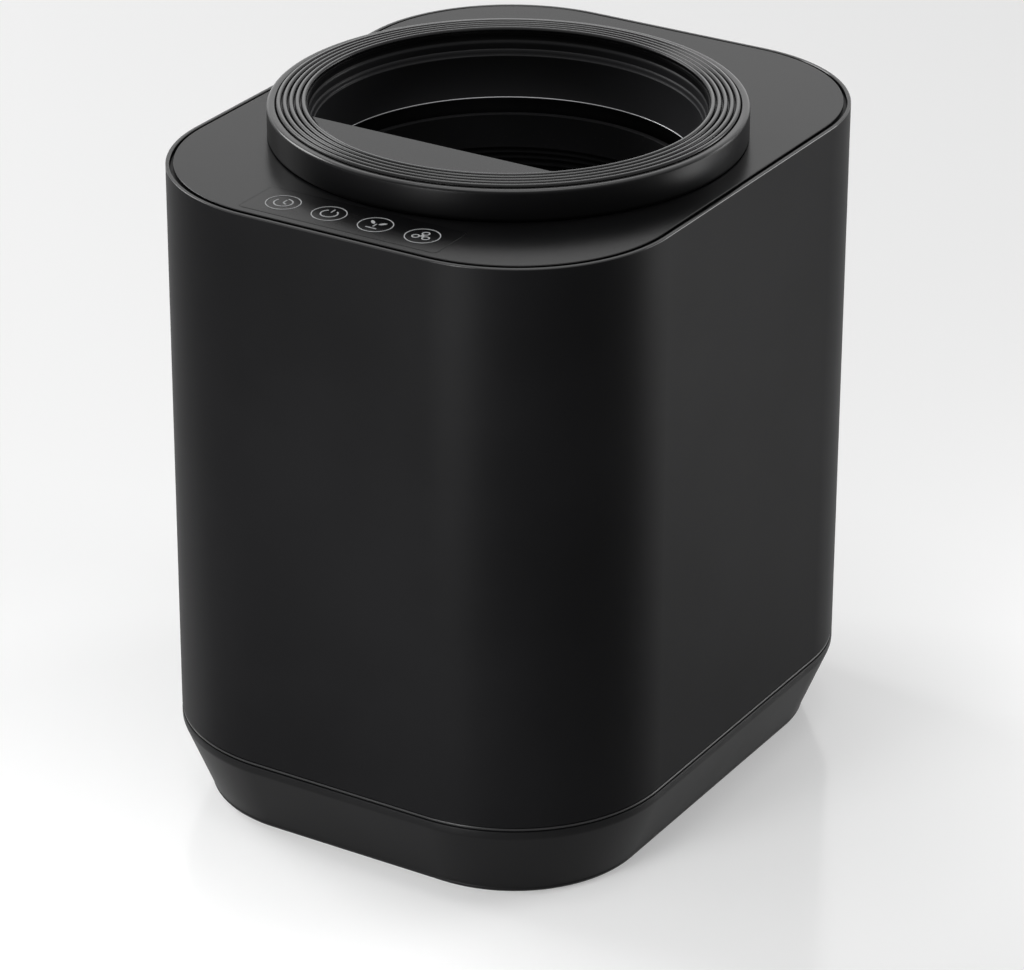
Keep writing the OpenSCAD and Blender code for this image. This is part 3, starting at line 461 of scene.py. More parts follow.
@dataclass(frozen=True)
class Felt(Finish):
    """Needle felt: crossing fibres that shade the surface."""

    def heights(self, shade: Shade) -> Field:
        """Crosses two sets of drawn-out fibres."""
        one = shade.noise(self.grain, 2.0, (1.0, 1.0, 7.0))
        two = shade.noise(self.grain, 2.0, (6.0, 6.0, 1.0))
        return one + two

    def colour(self, shade: Shade) -> Field:
        """Darkens the hollows between the fibres."""
        return shade.blend((self.heights(shade) * 0.5).ramped(0.38, 0.62), self.tone, self.light)


@dataclass(frozen=True)
class Board(Finish):
    """A circuit board: solder mask with copper lanes showing through it."""

    lane: float = 260.0

    def colour(self, shade: Shade) -> Field:
        """Lays the lanes out as a grid of cells with wide joints."""
        cells = shade.node("ShaderNodeTexBrick", {"offset": 0.37},
                           {"Vector": shade.place(), "Scale": self.lane, "Mortar Size": 0.06,
                            "Mortar Smooth": 0.2, "Color1": (0.0, 0.0, 0.0),
                            "Color2": (0.25, 0.25, 0.25), "Mortar": (1.0, 1.0, 1.0)}, "Fac")
        return shade.blend(cells, self.tone, self.light)


class Palette(Enum):
    """The finishes, one for each material slot of the record."""

    black_shell = PowderCoat("SatinPowderCoat", (0.0042, 0.0042, 0.0045), (0.0058, 0.0058, 0.0062),
                             (0.4, 0.45), 0.03, grain=1500.0, grain_depth=0.000012)
    black_deck = Finish("FineMattMoulding", (0.0042, 0.0042, 0.0045), (0.0062, 0.0062, 0.0066),
                        (0.2, 0.26), 0.26, grain=2600.0, grain_depth=0.000016)
    ledge_plastic = Finish("LedgeMoulding", (0.0105, 0.0106, 0.0112), (0.0135, 0.0136, 0.0144),
                           (0.22, 0.28), 0.28, grain=2600.0, grain_depth=0.000016)
    inner_plastic = Finish("DarkInnerMoulding", (0.014, 0.014, 0.0146), (0.022, 0.022, 0.023),
                           (0.5, 0.62), 0.4, grain_depth=0.00004)
    dark_trim = Finish("SatinTrim", (0.004, 0.004, 0.0043), (0.0065, 0.0065, 0.007),
                       (0.28, 0.36), 0.3, grain_depth=0.00001)
    base_plastic = Finish("BaseMoulding", (0.0032, 0.0032, 0.0034), (0.005, 0.005, 0.0053),
                          (0.4, 0.47), 0.08, grain=2200.0, grain_depth=0.00002)
    foot_rubber = Rubber("FootRubber", (0.008, 0.008, 0.008), (0.014, 0.014, 0.0138),
                         (0.7, 0.85), 0.3)
    zinc_steel = Brushed("ZincPlate", (0.42, 0.43, 0.45), (0.55, 0.55, 0.55), (0.3, 0.5), 0.5, 1.0,
                         260.0, 0.00003, stretch=(14.0, 1.0, 1.0))
    screw_steel = Brushed("BrightSteel", (0.52, 0.53, 0.55), (0.62, 0.62, 0.63), (0.18, 0.36), 0.5,
                          1.0, 700.0, 0.000015)
    gearbox_plastic = Finish("GlassFilledMoulding", (0.036, 0.038, 0.042), (0.055, 0.057, 0.061),
                             (0.48, 0.6), 0.45, grain=900.0, grain_depth=0.00005)
    bronze = Finish("SinteredBronze", (0.32, 0.19, 0.07), (0.46, 0.3, 0.12), (0.34, 0.5), 0.5, 1.0,
                    1600.0, 0.00005)
    motor_steel = Brushed("DrawnCan", (0.2, 0.21, 0.22), (0.3, 0.31, 0.32), (0.28, 0.42), 0.5, 1.0,
                          300.0, 0.00002, stretch=(1.0, 1.0, 0.06))
    liner_aluminium = Turned("DarkAnodisedLiner", (0.022, 0.022, 0.023), (0.034, 0.034, 0.036),
                             (0.34, 0.46), 0.5, 1.0, 500.0, 0.00002)
    heater_film = Finish("HeaterFilm", (0.22, 0.055, 0.02), (0.32, 0.1, 0.035), (0.42, 0.55), 0.45,
                         grain=420.0, grain_depth=0.0001)
    insulation_felt = Felt("NeedleFelt", (0.36, 0.33, 0.26), (0.62, 0.58, 0.48), (0.88, 0.97), 0.2,
                           grain=260.0, grain_depth=0.0006)
    cream_plastic = Finish("CreamCeramic", (0.5, 0.46, 0.37), (0.6, 0.56, 0.46), (0.3, 0.45), 0.5)
    gloss_panel = Gloss("GlossFilm", (0.0015, 0.0015, 0.0017), (0.0025, 0.0025, 0.0028),
                        (0.22, 0.3), 0.22, grain=30.0, grain_depth=0.000004)
    pale_print = Finish("PalePrint", (0.62, 0.63, 0.64), (0.76, 0.77, 0.78), (0.4, 0.55), 0.4,
                        grain_depth=0.000005)
    green_board = Board("SolderMask", (0.008, 0.06, 0.024), (0.03, 0.16, 0.06), (0.22, 0.34), 0.5)
    board_parts = Speckled("BoardParts", (0.3, 0.2, 0.03), (0.4, 0.29, 0.06), (0.35, 0.5), 0.5,
                           fleck=(0.1, 0.08, 0.02), fleck_pitch=260.0)
    pin_metal = Brushed("NickelPlate", (0.6, 0.58, 0.54), (0.7, 0.68, 0.64), (0.14, 0.26), 0.5, 1.0,
                        600.0, 0.00001)
    lead_rubber = Rubber("CableSheath", (0.008, 0.008, 0.0085), (0.014, 0.014, 0.0145), (0.5, 0.62),
                         0.4)
    collar_plastic = Lined("SatinMoulding", (0.0038, 0.0038, 0.0041), (0.006, 0.006, 0.0064),
                           (0.3, 0.36), 0.08, grain=2200.0, grain_depth=0.00001)
    seal_rubber = Ribbed("SatinSilicone", (0.003, 0.003, 0.0032), (0.005, 0.005, 0.0053),
                         (0.2, 0.27), 0.22, dust_share=0.02)
    bucket_coat = Speckled("NonStickCoat", (0.022, 0.022, 0.023), (0.032, 0.032, 0.034),
                           (0.36, 0.44), 0.06, fleck=(0.05, 0.05, 0.052), grain=900.0,
                           grain_depth=0.00002)
    handle_steel = Brushed("SatinWire", (0.5, 0.51, 0.53), (0.6, 0.6, 0.61), (0.2, 0.32), 0.5, 1.0,
                           800.0, 0.00001, stretch=(0.1, 1.0, 1.0))
    grip_rubber = Rubber("SoftGrip", (0.007, 0.007, 0.0074), (0.012, 0.012, 0.0125),
                         (0.6, 0.74), 0.3)
    stirrer_steel = Speckled("CastSteel", (0.14, 0.145, 0.15), (0.22, 0.225, 0.23),
                             (0.34, 0.52), 0.5, 1.0, 700.0, 0.00008,
                             fleck=(0.07, 0.07, 0.075), fleck_pitch=380.0)
    gear_nylon = Finish("NaturalNylon", (0.58, 0.55, 0.45), (0.68, 0.65, 0.56), (0.34, 0.46), 0.5)
    drawer_plastic = Finish("DrawerMoulding", (0.0042, 0.0042, 0.0046), (0.0065, 0.0065, 0.007),
                            (0.38, 0.45), 0.1, grain=2200.0, grain_depth=0.00002)
    filter_carbon = Speckled("CarbonCassette", (0.012, 0.012, 0.0125), (0.024, 0.024, 0.025),
                             (0.6, 0.8), 0.3, grain=420.0, grain_depth=0.0004,
                             fleck=(0.05, 0.05, 0.052), fleck_pitch=330.0, fleck_size=0.3)


# ---------------------------------------------------------------- shaping


def arc(centre: Point, radius: float, start: float, end: float, steps: int = 6) -> List[Point]:
    """Lists points on an arc.

    Args:
        centre: The arc's middle.
        radius: Its radius.
        start: The first angle, in degrees.
        end: The last angle, in degrees.
        steps: The number of strokes.

    Returns:
        The points, from start to end.
    """
    turns = [math.radians(start + (end - start) * i / steps) for i in range(steps + 1)]
    return [(centre[0] + radius * math.cos(t), centre[1] + radius * math.sin(t)) for t in turns]


def smooth(mesh: bpy.types.Mesh, crease: float) -> None:
    """Shades a mesh smooth, apart from edges over an angle in degrees."""
    mesh.shade_smooth()
    mesh.set_sharp_from_angle(angle=math.radians(crease))


@dataclass(frozen=True)
class Outline:
    """A rectangle with round corners in plan, as large as the case unless sizes are given."""

    width: float = 270.0
    depth: float = 331.0
    corner: float = 84.0

    @property
    def cx(self) -> float:
        """Distance of a corner's centre from the middle, along X."""
        return self.width / 2 - self.corner

    @property
    def cy(self) -> float:
        """Distance of a corner's centre from the middle, along Y."""
        return self.depth / 2 - self.corner

    @property
    def centres(self) -> List[Point]:
        """Centres of the four corners, anticlockwise from the right at the back."""
        return [(self.cx, self.cy), (-self.cx, self.cy), (-self.cx, -self.cy), (self.cx, -self.cy)]

    def plan(self, inset: float, steps: int) -> List[Point]:
        """Lists the points of a line within the outline.

        Args:
            inset: Its distance from the outline.
            steps: The number of strokes in a corner.

        Returns:
            The points, anticlockwise.
        """
        return [p for i, centre in enumerate(self.centres)
                for p in arc(centre, self.corner - inset, 90 * i, 90 * i + 90, steps)]


class Form:
    """A mesh in the making, in millimetres in the object's frame."""

    def __init__(self) -> None:
        """Starts empty."""
        self.bm = bmesh.new()

    def profile(self, points: Sequence[Point], offset: Point, closed: bool = True) -> List[Any]:
        """Draws a profile in the XZ plane.

        Args:
            points: The profile's points, across and up.
            offset: Where its zero lies, along X and Y.
            closed: Whether the last point joins the first.

        Returns:
            The new vertices and edges.
        """
        verts = [self.bm.verts.new((offset[0] + x, offset[1], z)) for x, z in points]
        pairs = list(zip(verts, verts[1:] + verts[:1])) if closed else list(zip(verts, verts[1:]))
        return verts + [self.bm.edges.new(pair) for pair in pairs]

    def spin(self, points: Sequence[Point], centre: Point, steps: int = ROUND_STEPS,
             closed: bool = True) -> "Form":
        """Turns a profile of radius and height all the way round an upright axis.

        Args:
            points: The profile.
            centre: The axis's place in plan.
            steps: The number of steps round.
            closed: Whether the profile is a ring rather than a line between two poles.

        Returns:
            This form.
        """
        start = self.profile(points, centre, closed)
        bmesh.ops.spin(self.bm, geom=start, cent=(*centre, 0.0), axis=(0.0, 0.0, 1.0),
                       angle=2 * math.pi, steps=steps, use_merge=True)
        return self.merged()

    def part_spin(self, points: Sequence[Point], centre: Point, start: float, angle: float,
                  steps: int) -> "Form":
        """Turns a profile part of the way round an upright axis and closes its ends.

        Args:
            points: The profile of radius and height.
            centre: The axis's place in plan.
            start: The first angle, in degrees.
            angle: The angle swept, in degrees.
            steps: The number of steps.

        Returns:
            This form.
        """
        first = self.profile(points, centre)
        verts = [v for v in first if isinstance(v, bmesh.types.BMVert)]
        bmesh.ops.rotate(self.bm, verts=verts, cent=(*centre, 0.0),
                         matrix=Matrix.Rotation(math.radians(start), 3, "Z"))
        swept = bmesh.ops.spin(self.bm, geom=first, cent=(*centre, 0.0), axis=(0.0, 0.0, 1.0),
                               angle=math.radians(angle), steps=steps)
        last = [e for e in swept["geom_last"] if isinstance(e, bmesh.types.BMEdge)]
        rims = [e for e in first if isinstance(e, bmesh.types.BMEdge)]
        bmesh.ops.holes_fill(self.bm, edges=rims, sides=0)
        bmesh.ops.holes_fill(self.bm, edges=last, sides=0)
        return self.merged()

    def sweep(self, points: Sequence[Point], case: Outline) -> "Form":
        """Carries a closed profile round the case; its x = 0 lies on the outline.

        Args:
            points: The profile, with negative x inwards.
            case: The outline.

        Returns:
            This form.
        """
        geom = self.profile(points, (case.width / 2, -case.cy))
        deep, wide = 2 * case.cy, 2 * case.cx
        straights = [(0.0, deep), (-wide, 0.0), (0.0, -deep), (wide, 0.0)]
        for (dx, dy), (cx, cy) in zip(straights, case.centres):
            edges = [e for e in geom if isinstance(e, bmesh.types.BMEdge)]
            geom = bmesh.ops.extrude_edge_only(self.bm, edges=edges)["geom"]
            verts = [v for v in geom if isinstance(v, bmesh.types.BMVert)]
            bmesh.ops.translate(self.bm, verts=verts, vec=(dx, dy, 0.0))
            edges = [e for e in geom if isinstance(e, bmesh.types.BMEdge)]
            geom = bmesh.ops.spin(self.bm, geom=verts + edges, cent=(cx, cy, 0.0),
                                  axis=(0.0, 0.0, 1.0), angle=math.pi / 2,
                                  steps=CORNER_STEPS)["geom_last"]
        return self.merged()

    def card(self, points: Sequence[Point], low: float, high: float, along: str = "Z") -> "Form":
        """Extrudes a flat outline.

        Args:
            points: The outline: X and Y, or X and Z where it goes along Y.
            low: Where it starts on the axis.
            high: Where it ends.
            along: The axis, "Z" or "Y".

        Returns:
            This form.
        """
        flat = [self.bm.verts.new((x, y, low) if along == "Z" else (x, low, y)) for x, y in points]
        face = self.bm.faces.new(flat)
        grown = bmesh.ops.extrude_face_region(self.bm, geom=[face])["geom"]
        step = (0.0, 0.0, high - low) if along == "Z" else (0.0, high - low, 0.0)
        bmesh.ops.translate(self.bm, verts=[v for v in grown if isinstance(v, bmesh.types.BMVert)],
                            vec=step)
        return self.merged()

    def block(self, size: Point3, place: Matrix) -> "Form":
        """Adds a box of a size, put in place by a matrix."""
        bmesh.ops.create_cube(self.bm, size=1.0, matrix=place @ Matrix.Diagonal((*size, 1.0)))
        return self

    def post(self, radius: float, length: float, place: Matrix, sides: int = 40) -> "Form":
        """Adds a round post along its own Z, put in place by a matrix."""
        bmesh.ops.create_cone(self.bm, cap_ends=True, segments=sides, radius1=radius,
                              radius2=radius, depth=length, matrix=place)
        return self

    def merged(self) -> "Form":
        """Joins doubles and turns every face outwards."""
        bmesh.ops.remove_doubles(self.bm, verts=self.bm.verts, dist=1e-4)
        bmesh.ops.recalc_face_normals(self.bm, faces=self.bm.faces)
        return self

    def soften(self, width: float, over: float = 35.0, low: float = -math.inf) -> "Form":
        """Rounds the sharp edges with three strips.

        Args:
            width: The rounding's width.
            over: The least angle between two faces that is rounded, in degrees.
            low: The least height of an edge that is rounded.

        Returns:
            This form.
        """
        sharp = [e for e in self.bm.edges
                 if len(e.link_faces) == 2 and e.calc_face_angle(0.0) > math.radians(over)
                 and low <= min(v.co.z for v in e.verts)]
        bmesh.ops.bevel(self.bm, geom=sharp, offset=width, offset_type="OFFSET", affect="EDGES",
                        segments=3, profile=0.5, material=-1, clamp_overlap=True)
        return self

    def add(self, other: "Form", place: Matrix = Matrix.Identity(4)) -> "Form":
        """Takes in another form's mesh, put in place by a matrix."""
        mesh = bpy.data.meshes.new("part")
        bmesh.ops.transform(other.bm, matrix=place, verts=other.bm.verts)
        other.bm.to_mesh(mesh)
        other.bm.free()
        self.bm.from_mesh(mesh)
        bpy.data.meshes.remove(mesh)
        return self

    def piece(self, name: str, crease: float = 32.0) -> bpy.types.Object:
        """Finishes the mesh as an object at the origin.

        Args:
            name: The object's name.
            crease: The angle over which an edge stays sharp, in degrees.

        Returns:
            The object, in metres.
        """
        bmesh.ops.scale(self.bm, vec=(MM, MM, MM), verts=self.bm.verts)
        mesh = bpy.data.meshes.new(name)
        self.bm.to_mesh(mesh)
        self.bm.free()
        smooth(mesh, crease)
        made = bpy.data.objects.new(name, mesh)
        bpy.context.scene.collection.objects.link(made)
        return made


def rounded_card(width: float, height: float, radius: float, centre: Point) -> List[Point]:
    """Lists the outline of a round-cornered rectangle.

    Args:
        width: Its width.
        height: Its height.
        radius: The corners' radius.
        centre: Its middle.

    Returns:
        The points, anticlockwise.
    """
    x, y = centre
    return [(x + across, y + up) for across, up in Outline(width, height, radius).plan(0.0, 6)]


def moved(x: float, y: float, z: float, turn: float = 0.0, axis: str = "Z") -> Matrix:
    """Gives the matrix of a place and a turn in degrees about one axis."""
    return Matrix.Translation((x, y, z)) @ Matrix.Rotation(math.radians(turn), 4, axis)


def cut(target: bpy.types.Object, cutter: Form, crease: float = 32.0) -> bpy.types.Object:
    """Takes one form out of a finished piece.

    Args:
        target: The piece.
        cutter: What is taken out of it, in millimetres.
        crease: The angle over which an edge stays sharp, in degrees.

    Returns:
        The piece.
    """
    tool = cutter.piece("cutter")
    modifier = target.modifiers.new("cut", "BOOLEAN")
    modifier.operation, modifier.object, modifier.solver = "DIFFERENCE", tool, "EXACT"
    bpy.context.view_layer.update()
    graph = bpy.context.evaluated_depsgraph_get()
    mesh = bpy.data.meshes.new_from_object(target.evaluated_get(graph))
    target.modifiers.clear()
    old, target.data = target.data, mesh
    mesh.name = target.name
    bpy.data.meshes.remove(old)
    bpy.data.objects.remove(tool)
    smooth(mesh, crease)
    return target


# ---------------------------------------------------------------- workshop


class Workshop:
    """Dresses the frame's nodes and puts new pieces in the place of some of them."""

    def __init__(self, frame: Dict[str, Any]) -> None:
        """Notes each node's slot and body before anything changes."""
        self.nodes: Dict[str, bpy.types.Object] = frame["nodes"]
        self.slots = {name: node.material_slots[0].material.name.split(".")[0]
                      for name, node in self.nodes.items()}
        self.bodies = {name: node["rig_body"] for name, node in self.nodes.items()}
        self.materials: Dict[str, bpy.types.Material] = {}

    def material(self, slot: str) -> bpy.types.Material:
        """Gives a slot's material, made on first use."""
        if slot not in self.materials:
            self.materials[slot] = Palette[slot].value.material()
        return self.materials[slot]

    def stand_in(self, piece: bpy.types.Object, node: str, *more: str) -> bpy.types.Object:
        """Puts a new piece in a node's place.

        Args:
            piece: The new piece.
            node: The node that it replaces, whose slot and body it takes.
            more: Further nodes that it stands for.

        Returns:
            The piece.
        """
        slot = self.slots[node]
        piece.data.materials.clear()
        piece.data.materials.append(self.material(slot))
        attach(piece, self.bodies[node])
        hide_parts(node, *more)
        LOG.info("%s stands for %s on %s, %d faces", piece.name, node, self.bodies[node],
                 len(piece.data.polygons))
        return piece

    def dress(self, nodes: Iterable[str]) -> None:
        """Gives nodes of the frame their finishes."""
        for name in nodes:
            self.nodes[name].material_slots[0].material = self.material(self.slots[name])
            LOG.info("%s is dressed in %s", name, self.slots[name])


# ---------------------------------------------------------------- the composter's sub-assemblies


@dataclass
class Case:
    """The outer shell, trim band, base, deck and feet."""

    outline: Outline = field(default_factory=Outline)
    shell_low: float = 47.6
    shell_high: float = 344.2
    shell_wall: float = 2.0
    shell_lip: float = 0.5
    deck_low: float = 341.5
    deck_high: float = 344.5
    deck_inset: float = 3.8
    deck_round: float = 0.4
    deck_hole: float = 104.0
    base_high: float = 45.0
    base_low: float = 2.0
    base_band: float = 4.0
    base_draw: float = 16.0
    base_wall: float = 3.0
    base_floor: float = 2.5
    slot: Tuple[float, float, float] = (64.0, 4.0, 1.9)
    slot_pitch: float = 9.0
    slots_each_way: int = 3
    foot_radius: float = 11.0
    foot_gap: float = 0.2
    foot_at: Point = (84.234, 114.734)
    foot_high: float = 3.2
    drawer_card: Tuple[float, float, float, float] = (92.0, 138.0, 4.0, 183.0)
    inlet_card: Tuple[float, float, float, float] = (30.0, 24.0, 3.0, 80.0)
    panel_card: Tuple[float, float, float] = (111.4, 29.4, 2.2)
    panel_at: Point = (-2.2, -143.0)
    panel_depth: float = 0.5

    def shell(self) -> bpy.types.Object:
        """Makes the shell, with its drawer and inlet openings in the back."""
        lip, wall = self.shell_lip, self.shell_wall
        made = Form().sweep(
            [(-0.3, self.shell_low), (0.0, self.shell_low + 0.3), (0.0, self.shell_low + 1.5),
             (0.0, self.shell_high - lip - 1.0), (0.0, self.shell_high - lip)]
            + arc((-lip, self.shell_high - lip), lip, 0, 90)[1:]
            + [(0.3 - wall, self.shell_high), (-wall, self.shell_high - 0.3),
               (-wall, self.shell_low)], self.outline).piece("OuterWall")
        back = self.outline.depth / 2
        for width, height, radius, z in (self.drawer_card, self.inlet_card):
            cut(made, Form().card(rounded_card(width, height, radius, (0.0, z)),
                                  back - wall - 1, back + 1, "Y"))
        return made

    def trim(self) -> bpy.types.Object:
        """Makes the trim band with a dark line above and below its lip."""
        low, high = self.base_high, self.shell_low
        return Form().sweep(
            [(-3.0, low), (-1.2, low), (-1.2, low + 0.7)]
            + arc((-0.6, low + 1.0), 0.3, -90, 0, 3) + arc((-0.6, high - 1.0), 0.3, 0, 90, 3)
            + [(-1.2, high - 0.7), (-1.2, high), (-2.2, high), (-2.2, high + 6.0),
               (-4.6, high + 6.0), (-4.6, low)], self.outline).piece("TrimBand")

    def base(self) -> bpy.types.Object:
        """Makes the base with its floor, its slots and the seats of the feet."""
        draw, wall, low, high = self.base_draw, self.base_wall, self.base_low, self.base_high
        bend = high - self.base_band
        inner = draw + 4.0
        form = Form().sweep(
            [(-0.5, high)] + arc((-0.5, high - 0.5), 0.5, 90, 0, 4)[1:] + [(0.0, bend + 0.9)]
            + [(-0.06, bend + 0.1), (-0.35, bend - 0.8)] + [(1.4 - draw, low + 3.0)]
            + arc((-draw - 1.6, low + 3.2), 3.2, -12, -78, 6)
            + [(-inner, low), (-inner, low + self.base_floor),
               (-draw - 1.5, low + self.base_floor), (-wall, bend), (-wall, high)], self.outline)
        form.add(Form().card(self.outline.plan(inner - 0.1, 24), low, low + self.base_floor))
        made = form.piece("BaseTray")
        cutter = Form()
        for i in range(-self.slots_each_way, self.slots_each_way + 1):
            spot = (COLLAR_AXIS[0], COLLAR_AXIS[1] + self.slot_pitch * i)
            cutter.add(Form().card(rounded_card(*self.slot, spot), low - 1,
                                   low + self.base_floor + 1))
        for x, y in self.feet_at():
            cutter.post(self.foot_radius + self.foot_gap, 2.2, moved(x, y, low + 0.1), 48)
        return cut(made, cutter)

    def deck(self) -> bpy.types.Object:
        """Makes the deck plate with its rounded edge, its mouth and the touch panel's seat."""
        high = self.deck_high
        form = Form().card(self.outline.plan(self.deck_inset, CORNER_STEPS), self.deck_low, high)
        made = form.soften(self.deck_round, low=high - 0.01).piece("DeckPlate", FLAT_CREASE)
        cut(made, Form().post(self.deck_hole, 8.0, moved(*COLLAR_AXIS, high - 1.5), 160),
            FLAT_CREASE)
        return cut(made, Form().card(rounded_card(*self.panel_card, self.panel_at),
                                     high - self.panel_depth, high + 1), FLAT_CREASE)

    def feet_at(self) -> List[Point]:
        """Lists the feet's places in plan."""
        x, y = self.foot_at
        return [(-x, -y), (-x, y), (x, -y), (x, y)]

    def feet(self) -> bpy.types.Object:
        """Makes the four rubber feet, each with a shallow ring in its sole."""
        radius, high = self.foot_radius, self.foot_high
        form = Form()
        for place in self.feet_at():
            form.add(Form().spin(
                [(0.0, 0.4), (4.0, 0.4), (4.6, 0.0)] + arc((radius - 0.8, 0.8), 0.8, -90, 0, 4)
                + [(radius, high), (0.0, high)], place, 48, closed=False))
        return form.piece("RubberFeet")

    def build(self, shop: Workshop) -> None:
        """Builds the case's pieces and dresses what stays."""
        shop.stand_in(self.shell(), "outer_shell")
        shop.stand_in(self.trim(), "trim_ring")
        shop.stand_in(self.base(), "base_tray")
        shop.stand_in(self.deck(), "deck_plate")
        shop.stand_in(self.feet(), "rubber_feet")
        shop.dress(["deck_frame", "corner_posts", "chassis_plate", "chassis_screws", "deck_screws",
                    "lid_sensor"])


@dataclass
class Collar:
    """The collar round the mouth, its ribbed seal and the front ledge."""

    centre: Point = COLLAR_AXIS
    seat: float = 344.8
    top: float = 361.0
    outer: float = 119.5
    shoulder: float = 1.7
    mouth: float = 99.5
    throat: float = 96.5
    throat_wall: float = 2.2
    throat_low: float = 324.7
    bead: float = 0.45
    step_radii: Tuple[float, float, float, float] = (99.2, 98.4, 97.4, 96.8)
    step_drops: Tuple[float, float, float] = (5.7, 10.1, 12.4)
    seal_outer: float = 115.3
    seal_thick: float = 2.0
    ribs: int = 5
    rib_pitch: float = 3.1
    rib_gap: float = 0.25
    rib_rise: float = 0.25
    valley: float = 0.5
    ledge_radius: float = 99.0
    ledge_edge: float = -76.0
    ledge_thick: float = 3.0
    ledge_round: float = 0.35
    ledge_rim: float = 2.4
    ledge_rim_drops: Point = (2.5, 5.2)

    def ring(self) -> bpy.types.Object:
        """Makes the collar: a rounded wall outside and four soft steps down to the throat."""
        throat, top, outer, seat = self.throat, self.top, self.outer, self.seat
        lip, wall = self.throat_low, throat + self.throat_wall
        radii, drops = self.step_radii, self.step_drops
        last, groove = top - drops[2], top - self.seal_thick
        steps: List[Point] = []
        for low, high, depth in ((radii[2], radii[1], drops[1]), (radii[1], radii[0], drops[0])):
            steps += [(low, top - depth - 1.5), (low + 0.1, top - depth - 0.5),
                      (low + 0.5, top - depth), (high - 0.1, top - depth + 0.2)]
        return Form().spin(
            [(wall, seat), (wall, lip + 0.6), (wall - 0.6, lip), (throat + 0.1, lip)]
            + arc((throat, lip + self.bead), self.bead, 260, 100, 8)
            + [(throat, lip + 2 * self.bead + 0.1), (throat, last - 1.2)]
            + arc((throat + 0.5, last - 0.9), 0.5, 180, 90, 3)
            + [(radii[3] + 0.3, last - 0.3)] + steps
            + [(radii[0], top - 5.2), (radii[0], groove - 0.6), (self.mouth - 0.1, groove - 0.6),
               (self.mouth - 0.1, groove), (self.seal_outer + 0.2, groove),
               (self.seal_outer + 0.2, top - 0.7)]
            + arc((self.seal_outer + 0.35, top - 0.75), 0.15, 180, 90, 2)
            + arc((outer - self.shoulder, top - 0.6 - self.shoulder), self.shoulder, 90, 0, 10)
            + [(outer, top - 1.4 - self.shoulder), (outer, seat + 1.6), (outer, seat + 0.6),
               (outer - 0.2, seat + 0.15), (outer - 0.6, seat)],
            self.centre).piece("CollarRing", 50.0)

    def seal(self) -> bpy.types.Object:
        """Makes the seal, with round ribs that rise a little towards the mouth."""
        low, radius = self.top - self.seal_thick, self.rib_pitch / 2 - self.rib_gap
        first = self.mouth + radius + self.rib_gap
        crowns: List[Point] = []
        for i in range(self.ribs):
            middle = first + i * self.rib_pitch
            rise = self.top - 0.7 + self.rib_rise * (self.ribs - 1 - i) / 2
            crowns += [(middle - radius - 0.02, low + self.valley)]
            crowns += arc((middle, rise), radius, 180, 0, 12)
            crowns += [(middle + radius + 0.02, low + self.valley)]
        return Form().spin([(self.mouth, low), (self.mouth, low + self.valley)] + crowns
                           + [(self.seal_outer, self.top - 1.0), (self.seal_outer, low)],
                           self.centre).piece("RibbedSeal", 40.0)

    def ledge(self) -> bpy.types.Object:
        """Makes the flat ledge that closes the front of the mouth, and the rim under it."""
        x, y = self.centre
        form = Form()
        bmesh.ops.create_circle(form.bm, cap_ends=True, radius=self.ledge_radius,
                                segments=ROUND_STEPS, matrix=moved(x, y, self.top))
        bmesh.ops.bisect_plane(form.bm, geom=list(form.bm.verts) + list(form.bm.edges)
                               + list(form.bm.faces), plane_co=(0.0, self.ledge_edge, 0.0),
                               plane_no=(0.0, 1.0, 0.0), clear_outer=True)
        grown = bmesh.ops.extrude_face_region(form.bm, geom=list(form.bm.faces))["geom"]
        bmesh.ops.translate(form.bm, verts=[v for v in grown if isinstance(v, bmesh.types.BMVert)],
                            vec=(0.0, 0.0, -self.ledge_thick))
        form.merged().soften(self.ledge_round)
        half = math.degrees(math.acos((y - self.ledge_edge) / self.ledge_radius)) - 0.6
        outer, inner = self.ledge_radius, self.ledge_radius - self.ledge_rim
        high, low = (self.top - drop for drop in self.ledge_rim_drops)
        form.add(Form().part_spin([(outer, high), (inner, high), (inner, low), (outer, low)],
                                  self.centre, -90 - half, 2 * half, 48))
        return form.piece("FrontLedge", FLAT_CREASE)

    def build(self, shop: Workshop) -> None:
        """Builds the collar's pieces."""
        shop.stand_in(self.ring(), "collar_ring")
        shop.stand_in(self.seal(), "ribbed_seal")
        shop.stand_in(self.ledge(), "front_ledge")


@dataclass
class TouchPanel:
    """The glossy touch panel with its four symbols, and the board under it."""

    centre: Point = (-2.2, -143.0)
    size: Tuple[float, float, float] = (111.0, 29.0, 2.0)
    low: float = 344.0
    high: float = 344.6
    edge_round: float = 0.25

    def glass(self) -> bpy.types.Object:
        """Makes the panel with a softly rounded upper edge."""
        form = Form().card(rounded_card(*self.size, self.centre), self.low, self.high)
        return form.soften(self.edge_round, low=self.high - 0.01).piece("TouchGlass", FLAT_CREASE)

    def build(self, shop: Workshop) -> None:
        """Builds the panel and dresses its symbols and boards."""
        shop.stand_in(self.glass(), "touch_panel")
        shop.dress(["touch_icons", "control_board", "touch_pads"])


